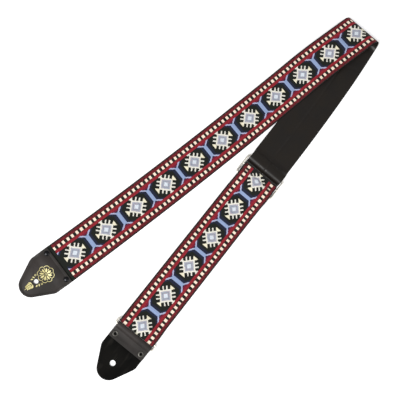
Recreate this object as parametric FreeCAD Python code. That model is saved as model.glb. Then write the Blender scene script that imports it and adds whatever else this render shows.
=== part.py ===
import FreeCAD, Part
import os
from math import acos, cos, degrees, radians, sin, tan

# Guitar strap: a 2 inch woven band on a vinyl backing, laid on a table and folded
# over once.  The patterned upper arm ends in a leather tab.  The lower arm shows the
# vinyl back, passes through a tri-glide slider, turns round a wire ring and comes back
# on top of itself to the slider.  The ring carries the lower leather tab.
#
# Lay-out frame, in millimetres: +X runs along the lower arm from the ring to the fold,
# +Y points to the upper arm's side, +Z is up and the table is z = 0.  x = 0 is the
# ring's strap bar, y = 0 the lower arm's middle.  At the end everything is moved so
# that the origin is the bottom centre of the whole strap's box.

Vector = FreeCAD.Vector
UP = Vector(0, 0, 1)

# ---- driving dimensions -------------------------------------------------------------

# band
BAND_W = 50.8                 # 2 inch backing, edge to edge
RIBBON_W = 49.8               # the jacquard stops short of the backing's edge
RIBBON_T = 0.6
BACKING_T = 1.0
BAND_T = RIBBON_T + BACKING_T
LAYER_GAP = 0.1               # air between layers that lie on each other
LAYER = BAND_T + LAYER_GAP
ARM_GAP = 0.3                 # air between the two arms where they cross

# slider: three bars across the band, bent from round wire
SLIDER_X = 245.0              # centre bar
SLIDER_PITCH = 14.0           # centre bar to each outer bar
SLIDER_WIRE = 2.6
CENTRE_BAR_WIRE = 2.4         # the centre bar, welded between the rails
SLIDER_RAIL_Y = 27.6
SLIDER_CORNER = 3.2
WRAP_GAP = 0.15               # air between a bar and the band round it

# ring: a closed rectangle of round wire
RING_WIRE = 3.0
RING_PITCH = 7.55             # strap bar to tab bar
RING_RAIL_Y = 27.2
RING_CORNER = 2.2
RING_BAND_GAP = 0.3           # air between the strap bar and the band
TAB_RING_GAP = 0.1            # running clearance of the leather round the tab bar

# leather tabs
LEATHER_T = 2.4
TAB_HALF_W = 25.1
NOSE_R = 14.5                 # round end of both tabs
TAPER_DEG = 27.5              # slope of the sides towards the nose
SHOULDER_R = 12.0             # softens the corner where a tab starts to narrow
HOLE_FROM_NOSE = 21.2         # button hole's centre to the nose
LOWER_TAB_NOSE_X = -67.8
LOWER_HOLE_R = 3.5
UPPER_TAB_LENGTH = 54.7
UPPER_HOLE_R = 2.75
SLIT_L = 4.5                  # the slit that lets the button's head through
SLIT_W = 0.5
FLAP_END_X = -24.3
FLAP_LIFT = 0.05              # air between flap and tab
FLAP_BEND_R = 3.6             # how sharply the flap comes down from the ring
LOOP_UNDERLAP = 4.0           # level leather past the tab bar before the tapered blade

# fasteners
EYELET_X = -18.4
EYELET_Y = 19.4
EYELET_FLANGE_R = 3.7
EYELET_BARREL_R = 2.2
EYELET_BORE_R = 1.6
EYELET_FLANGE_T = 0.7
WASHER_T = 0.5
RIVET_U = 4.2                 # from the upper tab's straight edge
RIVET_V = 19.0
RIVET_CAP_R = 3.3
RIVET_CAP_H = 1.5
RIVET_SHANK_R = 1.5
RIVET_FOOT_R = 3.0
RIVET_FOOT_T = 0.5

# where the adjustable part is divided, measured along the lower arm
TURN_END_X = 4.0              # the band that stays with the ring
PASSAGE_LOW_X = 205.5         # the band that stays with the slider
PASSAGE_HIGH_X = 278.5
LOWER_RUN_X = 316.5           # from here to the fold the lower arm doesn't move
DROP_R = 20.0                 # bends on the way down from the slider
RAMP_R = 14.0                 # bends on the way up to the slider
DIP_R = 4.0                   # bends round the slider's bars
CREST_R = 6.0                 # the softer bend over the high bar
CREST_SHELF = 0.5             # level stretch past the high bar's middle
TOP_SHELF = 3.2               # level stretch of the top layer past the low bar
TOP_BEND_R = 5.0              # bends of the top layer down to the centre bar
SETTLE_R = 40.0               # gentle bends near the ring

# fold: a half turn that is wider at its outer edge, like a cone
FOLD_OUTER = Vector(478.9, -17.8, 0)   # start of the turn, edge away from the upper arm
FOLD_INNER = Vector(486.6, 32.9, 0)    # start of the turn, edge on the upper arm's side
FOLD_R_OUTER = 11.0
FOLD_R_INNER = 6.5
FOLD_SHIFT_OUTER = 9.5        # how far each edge travels along the fold's axis
FOLD_SHIFT_INNER = 8.0
FOLD_STEPS = 24

# lower arm between slider and fold
LOWER_CURVE_X = PASSAGE_HIGH_X  # it is straight up to here, then bends a little
LOWER_CURVE_R = 2800.0

# upper arm: two gentle bends in plan, and a slope down from the fold
NEAR_BEND_END = Vector(389.5, 38.0, 0) # where the sharper bend near the fold ends
NEAR_HEADING = 10.5           # degrees from -X there
TAB_HEADING = 13.9            # degrees from -X at the tab
FAR_LENGTH = 395.3            # from there to the upper tab's edge
STRAP_UNDER_TAB = 9.5         # band hidden under the upper tab
SLOPE_LENGTH = 150.0          # from the fold's top down to the lower arm
CROSSING_START = 185.0        # along the arm from the fold, still on the lower arm
CROSSING_END = 240.0          # here it lies on the table

ABOVE_ALL = 12.0              # height of a cutter that goes through a tab and its flap

# ---- helpers ------------------------------------------------------------------------


def smooth(t):
    """0 to 1 with level ends."""
    t = min(max(t, 0.0), 1.0)
    return t * t * (3 - 2 * t)


def heading(angle):
    """Unit vector in plan, angle in degrees from +X."""
    return Vector(cos(radians(angle)), sin(radians(angle)), 0)


def cylinder(radius, height, centre):
    return Part.makeCylinder(radius, height, centre)


class Profile:
    """A line of straights and arcs in the XZ plane that a layer of the band follows."""

    def __init__(self, x, z, angle):
        self.point = Vector(x, 0, z)
        self.angle = angle
        self.spans = []

    def direction(self, angle=None):
        turned = radians(self.angle if angle is None else angle)
        return Vector(cos(turned), 0, sin(turned))

    def left(self, angle=None):
        turned = radians((self.angle if angle is None else angle) + 90)
        return Vector(cos(turned), 0, sin(turned))

    def straight(self, length):
        end = self.point + self.direction() * length
        if length > 1e-6:
            self.spans.append(("line", self.point, end, self.left(), self.left()))
        self.point = end
        return self

    def straight_to_x(self, x):
        return self.straight(abs(x - self.point.x) / abs(self.direction().x))

    def turn(self, radius, angle):
        """An arc: a positive angle turns left."""
        side = 1 if angle > 0 else -1
        centre = self.point + self.left() * (radius * side)
        start_left = self.left()
        middle_angle = self.angle + angle / 2
        middle = centre - self.left(middle_angle) * (radius * side)
        middle_left = self.left(middle_angle)
        self.angle += angle
        end = centre - self.left() * (radius * side)
        self.spans.append(
            ("arc", self.point, end, start_left, self.left(), middle, middle_left)
        )
        self.point = end
        return self

    def shift(self, rise, radius, second_radius=None):
        """Two opposite arcs that move the line to the left by rise."""
        total = radius + (second_radius or radius)
        bend = degrees(acos(1 - abs(rise) / total))
        side = 1 if rise > 0 else -1
        self.turn(radius, side * bend)
        self.turn(second_radius or radius, -side * bend)
        return self

    def edges(self, offset):
        """The line's edges, moved to its left by offset."""
        made = []
        for span in self.spans:
            start = span[1] + span[3] * offset
            end = span[2] + span[4] * offset
            if span[0] == "line":
                made.append(Part.makeLine(start, end))
            else:
                middle = span[5] + span[6] * offset
                made.append(Part.Arc(start, middle, end).toShape())
        return made

    def solid(self, low, high, width):
        """The layer between two offsets, width wide and centred on y = 0."""
        first, last = self.spans[0], self.spans[-1]
        begin = Part.makeLine(first[1] + first[3] * low, first[1] + first[3] * high)
        finish = Part.makeLine(last[2] + last[4] * low, last[2] + last[4] * high)
        loop = self.edges(low) + self.edges(high) + [begin, finish]
        wire = Part.Wire(Part.__sortEdges__(loop))
        face = Part.Face(wire)
        face.translate(Vector(0, -width / 2, 0))
        return face.extrude(Vector(0, width, 0))


def band_layers(profile):
    """Ribbon and backing along a profile whose left side is the patterned face."""
    face = BAND_T / 2
    seam = face - RIBBON_T
    return profile.solid(seam, face, RIBBON_W), profile.solid(-face, seam, BAND_W)


def lofted(stations, low, high, width):
    """A band layer through stations (one edge, other edge, inward direction).  The
    stations lie on the patterned face, and low and high are depths below it."""
    wires = []
    for outer, inner, inward in stations:
        middle = (outer + inner) * 0.5
        across = (inner - outer).normalize() * (width / 2)
        corners = [
            middle - across + inward * low,
            middle + across + inward * low,
            middle + across + inward * high,
            middle - across + inward * high,
        ]
        wires.append(Part.makePolygon(corners + corners[:1]))
    return Part.makeLoft(wires, True, True)


def lofted_layers(stations):
    ribbon = lofted(stations, 0, RIBBON_T, RIBBON_W)
    backing = lofted(stations, RIBBON_T, BAND_T, BAND_W)
    return ribbon, backing


def wire_rectangle(x_low, x_high, rail_y, z, corner, wire):
    """A closed rectangle of round wire with rounded corners."""
    xs, ys = (x_low, x_high), (-rail_y, rail_y)
    middle = Vector((x_low + x_high) / 2, 0, z)
    solid = None
    for x in xs:
        bar = Part.makeCylinder(
            wire / 2, 2 * (rail_y - corner), Vector(x, -rail_y + corner, z), Vector(0, 1, 0)
        )
        solid = bar if solid is None else solid.fuse(bar)
    for y in ys:
        rail = Part.makeCylinder(
            wire / 2, x_high - x_low - 2 * corner, Vector(x_low + corner, y, z), Vector(1, 0, 0)
        )
        solid = solid.fuse(rail)
    for x in xs:
        for y in ys:
            inward_x = 1 if x < middle.x else -1
            inward_y = 1 if y < middle.y else -1
            centre = Vector(x + inward_x * corner, y + inward_y * corner, z)
            ring = Part.makeTorus(corner, wire / 2, centre, UP)
            reach = corner + wire
            box = Part.makeBox(reach, reach, 2 * wire)
            box.translate(
                Vector(
                    centre.x - (reach if inward_x > 0 else 0),
                    centre.y - (reach if inward_y > 0 else 0),
                    z - wire,
                )
            )
            solid = solid.fuse(ring.common(box))
    return solid.removeSplitter()


def tab_outline(length, base, height):
    """A tab along +X: square at x = 0, tapered and round at x = length."""
    slope = radians(TAPER_DEG)
    centre_x = length - NOSE_R
    touch = Vector(centre_x + NOSE_R * sin(slope), NOSE_R * cos(slope), base)
    shoulder = Vector(touch.x - (TAB_HALF_W - touch.y) / tan(slope), TAB_HALF_W, base)
    corners = [Vector(0, TAB_HALF_W, base), shoulder, touch]
    mirrored = [Vector(p.x, -p.y, p.z) for p in corners]
    edges = [
        Part.makeLine(corners[0], corners[1]),
        Part.makeLine(corners[1], corners[2]),
        Part.Arc(touch, Vector(length, 0, base), mirrored[2]).toShape(),
        Part.makeLine(mirrored[2], mirrored[1]),
        Part.makeLine(mirrored[1], mirrored[0]),
        Part.makeLine(mirrored[0], corners[0]),
    ]
    solid = Part.Face(Part.Wire(edges)).extrude(UP * height)
    shoulders = [
        e for e in solid.Edges
        if abs(abs(e.CenterOfMass.y) - TAB_HALF_W) < 1e-6
        and abs(e.CenterOfMass.x - shoulder.x) < 1e-6
        and abs(e.Length - height) < 1e-6
    ]
    return solid.makeFillet(SHOULDER_R, shoulders)


def dome(radius, height, centre):
    """A low spherical cap standing on the plane through centre."""
    ball = (radius * radius + height * height) / (2 * height)
    sphere = Part.makeSphere(ball, centre + UP * (height - ball))
    keep = Part.makeCylinder(radius + 1, height + 1, centre)
    return sphere.common(keep)


# ---- levels that follow from the dimensions -------------------------------------------

MID = BAND_T / 2
STRAP_Z = MID                                       # band on the table
TAIL_Z = STRAP_Z + LAYER                            # layer above it
SLIDER_Z = TAIL_Z + MID + WRAP_GAP + SLIDER_WIRE / 2
OVER_BAR_Z = SLIDER_Z + SLIDER_WIRE / 2 + WRAP_GAP + MID
WRAP_R = SLIDER_WIRE / 2 + WRAP_GAP + MID
RING_Z = RING_WIRE / 2 + TAB_RING_GAP + LEATHER_T   # the tab lies flat on the table
TURN_R = RING_WIRE / 2 + RING_BAND_GAP + MID
DIP = OVER_BAR_Z - STRAP_Z
DIP_RUN = 2 * DIP_R * sin(acos(1 - DIP / (2 * DIP_R)))
HIGH_BAR_X = SLIDER_X + SLIDER_PITCH
LOW_BAR_X = SLIDER_X - SLIDER_PITCH
BAR_SHELF = 2.1               # level stretch of band past an outer bar's middle

# ---- the band through the slider -------------------------------------------------------


def passage_profile():
    """The long band from the fold's side: up over the high bar, under the centre bar,
    up over the low bar and down to the table."""
    ramp_run = 2 * RAMP_R * sin(acos(1 - DIP / (2 * RAMP_R)))
    line = Profile(PASSAGE_HIGH_X, STRAP_Z, 180)
    line.straight_to_x(HIGH_BAR_X + BAR_SHELF / 2 + ramp_run)
    line.shift(-DIP, RAMP_R)
    line.straight_to_x(HIGH_BAR_X - CREST_SHELF)
    line.shift(DIP, CREST_R, DIP_R)
    line.straight_to_x(LOW_BAR_X + BAR_SHELF + DIP_RUN)
    line.shift(-DIP, DIP_R)
    line.straight_to_x(LOW_BAR_X - BAR_SHELF)
    line.shift(DIP, DROP_R)
    line.straight_to_x(PASSAGE_LOW_X)
    return line


def tail_profile():
    """The visible layer's end: up over the low bar, round the centre bar, and back
    between the two other layers, where it is stitched."""
    top_z = OVER_BAR_Z + 2 * LAYER
    start_z = TAIL_Z + LAYER
    drop = top_z - start_z
    drop_run = 2 * DROP_R * sin(acos(1 - DIP / (2 * DROP_R)))
    line = Profile(PASSAGE_LOW_X, start_z, 0)
    line.straight_to_x(LOW_BAR_X - BAR_SHELF - drop_run)
    line.shift(drop, DROP_R - 2 * LAYER, DROP_R + 2 * LAYER)
    line.straight_to_x(LOW_BAR_X + TOP_SHELF)
    line.shift(-(top_z - OVER_BAR_Z), TOP_BEND_R)
    line.straight_to_x(SLIDER_X)
    line.turn(WRAP_R, -180)
    line.straight_to_x(LOW_BAR_X + BAR_SHELF + DIP_RUN)
    line.shift(-DIP, DIP_R - LAYER, DIP_R + LAYER)
    line.straight_to_x(LOW_BAR_X - BAR_SHELF)
    line.shift(DIP, DROP_R + LAYER, DROP_R - LAYER)
    return line


def ring_turn_profile():
    """The band round the ring's strap bar."""
    line = Profile(TURN_END_X, RING_Z - TURN_R, 180)
    line.straight_to_x(0)
    line.turn(TURN_R, -180)
    line.straight_to_x(TURN_END_X)
    return line


def under_run_profile():
    """The hidden layer between slider and ring."""
    rise = RING_Z - TURN_R - STRAP_Z
    run = 2 * SETTLE_R * sin(acos(1 - rise / (2 * SETTLE_R)))
    line = Profile(PASSAGE_LOW_X, STRAP_Z, 180)
    line.straight_to_x(TURN_END_X + run)
    line.shift(-rise, SETTLE_R)
    return line


def return_profile():
    """The visible layer between ring and slider, patterned face up."""
    drop = RING_Z + TURN_R - TAIL_Z
    line = Profile(TURN_END_X, RING_Z + TURN_R, 0)
    line.shift(-drop, SETTLE_R)
    rise_run = 2 * SETTLE_R * sin(acos(1 - LAYER / (2 * SETTLE_R)))
    line.straight_to_x(PASSAGE_LOW_X - rise_run)
    line.shift(LAYER, SETTLE_R)
    return line


# ---- lower arm, fold and upper arm ------------------------------------------------------


def lower_centre(x):
    """Middle of the lower arm in plan, and its heading in degrees."""
    past = max(0.0, x - LOWER_CURVE_X)
    return Vector(x, past * past / (2 * LOWER_CURVE_R), 0), degrees(past / LOWER_CURVE_R)


def lower_station(x):
    """A station across the lower arm, whose patterned face lies on the table."""
    centre, angle = lower_centre(x)
    across = heading(angle + 90) * (BAND_W / 2)
    return centre - across, centre + across, UP


def blended(first, second, share):
    """A station part of the way from one station to another."""
    outer = first[0] * (1 - share) + second[0] * share
    inner = first[1] * (1 - share) + second[1] * share
    inward = (first[2] * (1 - share) + second[2] * share).normalize()
    return outer, inner, inward


FOLD_AXIS = (FOLD_INNER - FOLD_OUTER).normalize()
FOLD_OUT = FOLD_AXIS.cross(UP)                      # level, away from both arms


def fold_station(turned):
    """A station on the fold, turned from 0 (lower arm) to 180 degrees (upper arm)."""
    angle = radians(turned)

    def edge(start, radius, travel):
        along = FOLD_AXIS * (travel * turned / 180)
        return start + along + FOLD_OUT * (radius * sin(angle)) + UP * (radius * (1 - cos(angle)))

    inward = UP * cos(angle) - FOLD_OUT * sin(angle)
    outer = edge(FOLD_OUTER, FOLD_R_OUTER, FOLD_SHIFT_OUTER)
    inner = edge(FOLD_INNER, FOLD_R_INNER, FOLD_SHIFT_INNER)
    return outer, inner, inward


def far_point(along):
    """Middle of the upper arm past its sharper bend: a wide arc in plan."""
    steps = 24
    point = Vector(NEAR_BEND_END)
    for i in range(steps):
        part = (i + 0.5) / steps * along
        point += heading(180 - far_heading(part)) * (along / steps)
    return point


def far_heading(along):
    """Degrees between the upper arm and -X."""
    return NEAR_HEADING + (TAB_HEADING - NEAR_HEADING) * along / FAR_LENGTH


FOLD_TOP = fold_station(180)
FOLD_TOP_CENTRE = (FOLD_TOP[0] + FOLD_TOP[1]) * 0.5
NEAR_LENGTH = (Vector(FOLD_TOP_CENTRE.x, FOLD_TOP_CENTRE.y, 0) - NEAR_BEND_END).Length
ARM_LENGTH = NEAR_LENGTH + FAR_LENGTH + STRAP_UNDER_TAB


def near_point(share):
    """Middle of the upper arm between the fold and the end of the sharper bend, as a
    cubic that leaves the fold square to it and meets the wide arc in line."""
    start = Vector(FOLD_TOP_CENTRE.x, FOLD_TOP_CENTRE.y, 0)
    leave = (start - NEAR_BEND_END).normalize() * -NEAR_LENGTH
    arrive = heading(180 - NEAR_HEADING) * NEAR_LENGTH
    t, t2, t3 = share, share ** 2, share ** 3
    point = start * (2 * t3 - 3 * t2 + 1) + leave * (t3 - 2 * t2 + t)
    point += NEAR_BEND_END * (3 * t2 - 2 * t3) + arrive * (t3 - t2)
    slope = (start - NEAR_BEND_END) * (6 * t2 - 6 * t)
    slope += leave * (3 * t2 - 4 * t + 1) + arrive * (3 * t2 - 2 * t)
    return point, slope.normalize()


def upper_height(along):
    """Height of the upper arm's back above the table, apart from the fold's lift."""
    step = smooth((CROSSING_END - along) / (CROSSING_END - CROSSING_START))
    return (BAND_T + ARM_GAP) * step


def upper_station(along):
    """A station on the upper arm, along mm from the top of the fold."""
    if along < NEAR_LENGTH:
        centre, forward = near_point(along / NEAR_LENGTH)
    else:
        centre = far_point(along - NEAR_LENGTH)
        forward = heading(180 - far_heading(along - NEAR_LENGTH))
    across = forward.cross(UP) * (BAND_W / 2)       # towards the inner edge
    lift = 1 - smooth(along / SLOPE_LENGTH)
    base = UP * (upper_height(along) + BAND_T)
    outer = centre - across + base
    inner = centre + across + base
    outer.z += (FOLD_TOP[0].z - base.z) * lift
    inner.z += (FOLD_TOP[1].z - base.z) * lift
    return outer, inner, UP * -1


def square_to_path(stations):
    """Turn each station's inward direction square to the path and to the station."""
    turned = []
    for i, (outer, inner, inward) in enumerate(stations):
        before, after = stations[max(i - 1, 0)], stations[min(i + 1, len(stations) - 1)]
        forward = (after[0] + after[1]) - (before[0] + before[1])
        normal = forward.cross(inner - outer).normalize()
        if normal.dot(inward) < 0:
            normal = normal * -1
        turned.append((outer, inner, normal))
    return turned


def whole_band_stations():
    """Stations from the lower arm, round the fold, to the end of the upper arm, and
    where the fold starts and ends in the list."""
    reach = FOLD_OUTER.x - 8
    first = [lower_station(LOWER_RUN_X + (reach - 40 - LOWER_RUN_X) * i / 6) for i in range(7)]
    start = fold_station(0)
    settle = [blended(first[-1], start, smooth(i / 4)) for i in range(1, 4)]
    fold = [fold_station(180 * i / FOLD_STEPS) for i in range(FOLD_STEPS + 1)]
    near_steps, far_steps = 14, 12
    upper = [upper_station(SLOPE_LENGTH * i / near_steps) for i in range(near_steps + 1)]
    # the first slope stations take over from the fold's last one little by little
    ease = 3
    upper = [blended(FOLD_TOP, s, smooth(i / ease)) if i < ease else s for i, s in enumerate(upper)]
    left = ARM_LENGTH - SLOPE_LENGTH
    upper += [upper_station(SLOPE_LENGTH + left * i / far_steps) for i in range(1, far_steps + 1)]
    stations = square_to_path(first + settle + fold + upper[1:])
    fold_start = len(first) + len(settle)
    return stations, fold_start, fold_start + FOLD_STEPS


# ---- leather ----------------------------------------------------------------------------


def lower_tab_solid():
    """Blade on the table, one turn round the ring's tab bar, and the flap on top."""
    bar_x = -RING_PITCH
    loop_end = bar_x - LOOP_UNDERLAP
    turn_r = RING_WIRE / 2 + TAB_RING_GAP + LEATHER_T / 2
    flap_z = LEATHER_T + FLAP_LIFT + LEATHER_T / 2
    rise = RING_Z + turn_r - flap_z
    rise_run = 2 * FLAP_BEND_R * sin(acos(1 - rise / (2 * FLAP_BEND_R)))
    line = Profile(FLAP_END_X, flap_z, 0)
    line.straight_to_x(bar_x - rise_run)
    line.shift(rise, FLAP_BEND_R)
    line.turn(turn_r, -180)
    line.straight_to_x(loop_end)
    loop = line.solid(-LEATHER_T / 2, LEATHER_T / 2, 2 * TAB_HALF_W)
    blade = tab_outline(loop_end - LOWER_TAB_NOSE_X, 0, LEATHER_T)
    blade.rotate(Vector(0, 0, 0), UP, 180)
    blade.translate(Vector(loop_end, 0, 0))
    hole_x = LOWER_TAB_NOSE_X + HOLE_FROM_NOSE
    hole = cylinder(LOWER_HOLE_R, ABOVE_ALL, Vector(hole_x, 0, -1))
    slit_corner = Vector(hole_x, -SLIT_W / 2, -1)
    slit = Part.makeBox(SLIT_L + LOWER_HOLE_R, SLIT_W, ABOVE_ALL, slit_corner)
    tab = loop.fuse(blade.cut(hole).cut(slit)).removeSplitter()
    for y in (-EYELET_Y, EYELET_Y):
        tab = tab.cut(cylinder(EYELET_BARREL_R, ABOVE_ALL, Vector(EYELET_X, y, -1)))
        tab = tab.cut(cylinder(EYELET_FLANGE_R, WASHER_T, Vector(EYELET_X, y, 0)))
    return tab


def eyelets():
    """Tubular rivets: a rolled flange on the flap and a barrel through both layers."""
    top = 2 * LEATHER_T + FLAP_LIFT
    made = []
    for y in (-EYELET_Y, EYELET_Y):
        foot = Vector(EYELET_X, y, 0)
        barrel = cylinder(EYELET_BARREL_R, top, foot)
        flange = cylinder(EYELET_FLANGE_R, EYELET_FLANGE_T, foot + UP * top)
        outer_edge = [e for e in flange.Edges if abs(e.CenterOfMass.z - top - EYELET_FLANGE_T) < 1e-6]
        flange = flange.makeFillet(EYELET_FLANGE_T * 0.7, outer_edge[:1])
        bore = cylinder(EYELET_BORE_R, ABOVE_ALL, foot - UP)
        made.append(barrel.fuse(flange).cut(bore))
    return Part.makeCompound(made)


def eyelet_washers():
    made = []
    for y in (-EYELET_Y, EYELET_Y):
        foot = Vector(EYELET_X, y, 0)
        hole = cylinder(EYELET_BARREL_R, ABOVE_ALL, foot - UP)
        made.append(cylinder(EYELET_FLANGE_R, WASHER_T, foot).cut(hole))
    return Part.makeCompound(made)


UPPER_EDGE = far_point(FAR_LENGTH)                  # middle of the upper tab's edge
UPPER_TURN = 180 - TAB_HEADING


def on_upper_tab(shape):
    """Move a shape made along +X from the origin to the upper tab's place."""
    shape.rotate(Vector(0, 0, 0), UP, UPPER_TURN)
    shape.translate(UPPER_EDGE)
    return shape


def rivet_spots():
    return [Vector(RIVET_U, side * RIVET_V, 0) for side in (-1, 1)]


def upper_tab_solid():
    """Leather that lies on the band's end, then steps down to the table."""
    drop = BAND_T + FLAP_LIFT
    line = Profile(0, drop + LEATHER_T / 2, 0)
    line.straight_to_x(STRAP_UNDER_TAB + 1)
    line.shift(-drop, NOSE_R)
    line.straight_to_x(UPPER_TAB_LENGTH + 1)
    sheet = line.solid(-LEATHER_T / 2, LEATHER_T / 2, 2 * BAND_W)
    tab = sheet.common(tab_outline(UPPER_TAB_LENGTH, 0, ABOVE_ALL))
    hole_x = UPPER_TAB_LENGTH - HOLE_FROM_NOSE
    tab = tab.cut(cylinder(UPPER_HOLE_R, ABOVE_ALL, Vector(hole_x, 0, -1)))
    slit_corner = Vector(hole_x - SLIT_L - UPPER_HOLE_R, -SLIT_W / 2, -1)
    tab = tab.cut(Part.makeBox(SLIT_L + UPPER_HOLE_R, SLIT_W, ABOVE_ALL, slit_corner))
    for spot in rivet_spots():
        tab = tab.cut(cylinder(RIVET_SHANK_R, ABOVE_ALL, spot - UP))
    return on_upper_tab(tab)


def rivet_caps():
    top = BAND_T + FLAP_LIFT + LEATHER_T
    domes = [dome(RIVET_CAP_R, RIVET_CAP_H, spot + UP * top) for spot in rivet_spots()]
    return on_upper_tab(Part.makeCompound(domes))


def rivet_shank_solids():
    top = BAND_T + FLAP_LIFT + LEATHER_T
    made = []
    for spot in rivet_spots():
        foot = cylinder(RIVET_FOOT_R, RIVET_FOOT_T, spot)
        made.append(foot.fuse(cylinder(RIVET_SHANK_R, top, spot)))
    return on_upper_tab(Part.makeCompound(made))


# ---- assembly -----------------------------------------------------------------------------

parts = {}


def add_band(name, layers):
    parts[name + "_ribbon"], parts[name + "_backing"] = layers


add_band("ring_turn", band_layers(ring_turn_profile()))
add_band("under_run", band_layers(under_run_profile()))
add_band("return_run", band_layers(return_profile()))
add_band("passage", band_layers(passage_profile()))
add_band("tail", band_layers(tail_profile()))

free_steps = 6
free_span = LOWER_RUN_X - PASSAGE_HIGH_X
free_stations = [lower_station(PASSAGE_HIGH_X + free_span * i / free_steps) for i in range(free_steps + 1)]
add_band("free_run", lofted_layers(free_stations))

stations, fold_start, fold_end = whole_band_stations()
add_band("lower_run", lofted_layers(stations[:fold_start + 1]))
add_band("fold", lofted_layers(stations[fold_start:fold_end + 1]))
add_band("upper_arm", lofted_layers(stations[fold_end:]))

parts["upper_tab"] = upper_tab_solid()
parts["upper_rivet_caps"] = rivet_caps()
parts["upper_rivet_shanks"] = rivet_shank_solids()
for layer in ("upper_arm_ribbon", "upper_arm_backing"):
    parts[layer] = parts[layer].cut(parts["upper_rivet_shanks"])

parts["slider_frame"] = wire_rectangle(
    LOW_BAR_X, HIGH_BAR_X, SLIDER_RAIL_Y, SLIDER_Z, SLIDER_CORNER, SLIDER_WIRE
)
centre_bar = Part.makeCylinder(
    CENTRE_BAR_WIRE / 2,
    2 * SLIDER_RAIL_Y,
    Vector(SLIDER_X, -SLIDER_RAIL_Y, SLIDER_Z),
    Vector(0, 1, 0),
)
parts["slider_centre_bar"] = centre_bar.cut(parts["slider_frame"])
parts["ring"] = wire_rectangle(-RING_PITCH, 0, RING_RAIL_Y, RING_Z, RING_CORNER, RING_WIRE)
parts["lower_tab"] = lower_tab_solid()
parts["lower_eyelets"] = eyelets()
parts["lower_eyelet_washers"] = eyelet_washers()

whole = Part.makeCompound(list(parts.values())).optimalBoundingBox()
origin = Vector((whole.XMin + whole.XMax) / 2, (whole.YMin + whole.YMax) / 2, whole.ZMin)
os.makedirs("parts", exist_ok=True)
for name, shape in parts.items():
    placed = shape.copy()
    placed.translate(origin * -1)
    placed.exportStep("parts/" + name + ".step")
    solids = placed.Solids
    print(name, "solids", len(solids), "valid", placed.isValid(), "volume", round(placed.Volume, 1))


def told(label, point):
    moved = point - origin
    print(label, round(moved.x, 3), round(moved.y, 3), round(moved.z, 3))


told("lower button hole", Vector(LOWER_TAB_NOSE_X + HOLE_FROM_NOSE, 0, LEATHER_T / 2))
upper_hole = Part.Vertex(UPPER_TAB_LENGTH - HOLE_FROM_NOSE, 0, LEATHER_T / 2)
told("upper button hole", on_upper_tab(upper_hole).Point)
told("ring strap bar", Vector(0, 0, RING_Z))
told("ring tab bar", Vector(-RING_PITCH, 0, RING_Z))
fold_middle = (FOLD_OUTER + FOLD_INNER) * 0.5 + UP * ((FOLD_R_OUTER + FOLD_R_INNER) / 2)
told("fold axis point", fold_middle)
told("fold axis direction", FOLD_AXIS + origin)
told("slider centre bar", Vector(SLIDER_X, 0, SLIDER_Z))
told("lay-out origin", Vector(0, 0, 0))
print("size", round(whole.XLength, 2), round(whole.YLength, 2), round(whole.ZLength, 2))
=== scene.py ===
# %% [markdown]
# # A woven guitar strap, folded over once on a table
#
# The real strap is a 2 inch jacquard ribbon sewn to a black vinyl backing. One end goes
# through a nickel slider and round a wire ring that holds a leather tab; the other end
# is riveted into a second leather tab. This notebook dresses the CAD model: it loads
# the imported parts and lays bending cloth, leather and metal over them.

# %% Load the CAD model
from math import acos, cos, degrees, exp, pi, radians, sin, tan

import bmesh
import bpy
from mathutils import Matrix, Vector
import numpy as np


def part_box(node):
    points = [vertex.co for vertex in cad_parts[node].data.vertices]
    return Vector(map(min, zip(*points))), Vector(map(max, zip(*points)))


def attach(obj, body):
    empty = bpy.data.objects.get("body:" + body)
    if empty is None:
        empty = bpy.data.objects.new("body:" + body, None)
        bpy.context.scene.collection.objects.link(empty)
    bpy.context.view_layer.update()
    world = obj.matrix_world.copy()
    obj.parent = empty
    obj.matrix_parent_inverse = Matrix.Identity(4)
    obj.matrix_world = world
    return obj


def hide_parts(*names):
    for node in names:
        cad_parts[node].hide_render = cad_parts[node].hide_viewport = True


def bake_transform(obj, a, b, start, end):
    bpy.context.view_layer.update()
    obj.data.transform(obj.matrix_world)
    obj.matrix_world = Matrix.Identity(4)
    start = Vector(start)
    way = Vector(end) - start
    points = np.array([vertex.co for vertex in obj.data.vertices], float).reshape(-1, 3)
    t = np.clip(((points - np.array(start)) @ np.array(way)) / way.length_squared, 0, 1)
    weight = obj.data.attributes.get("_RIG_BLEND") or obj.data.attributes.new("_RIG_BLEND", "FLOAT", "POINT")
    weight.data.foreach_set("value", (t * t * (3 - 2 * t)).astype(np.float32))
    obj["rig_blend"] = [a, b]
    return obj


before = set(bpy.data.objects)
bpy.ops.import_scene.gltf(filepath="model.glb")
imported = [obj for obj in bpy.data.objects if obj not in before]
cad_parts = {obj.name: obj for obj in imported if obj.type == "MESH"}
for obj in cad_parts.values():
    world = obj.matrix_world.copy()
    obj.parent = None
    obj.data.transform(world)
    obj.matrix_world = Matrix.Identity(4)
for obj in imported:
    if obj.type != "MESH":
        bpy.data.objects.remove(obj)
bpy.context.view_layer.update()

# %% [markdown]
# ## Where things are
#
# Every length below is in millimetres along the strap's own lay-out: x runs from the
# ring's strap bar to the fold, y points to the upper arm. The ring and the slider say
# where that lay-out sits in the CAD model, so nothing is placed by eye. A finished mesh
# goes through one matrix that turns lay-out millimetres into metres.

# %% Lay-out origin and sizes read from the CAD boxes
MM = 0.001
UP = Vector((0, 0, 1))
ALONG_X = Vector((1, 0, 0))
ACROSS_Y = Vector((0, 1, 0))


def cad_size(node):
    low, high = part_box(node)
    return (high - low) / MM


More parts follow.
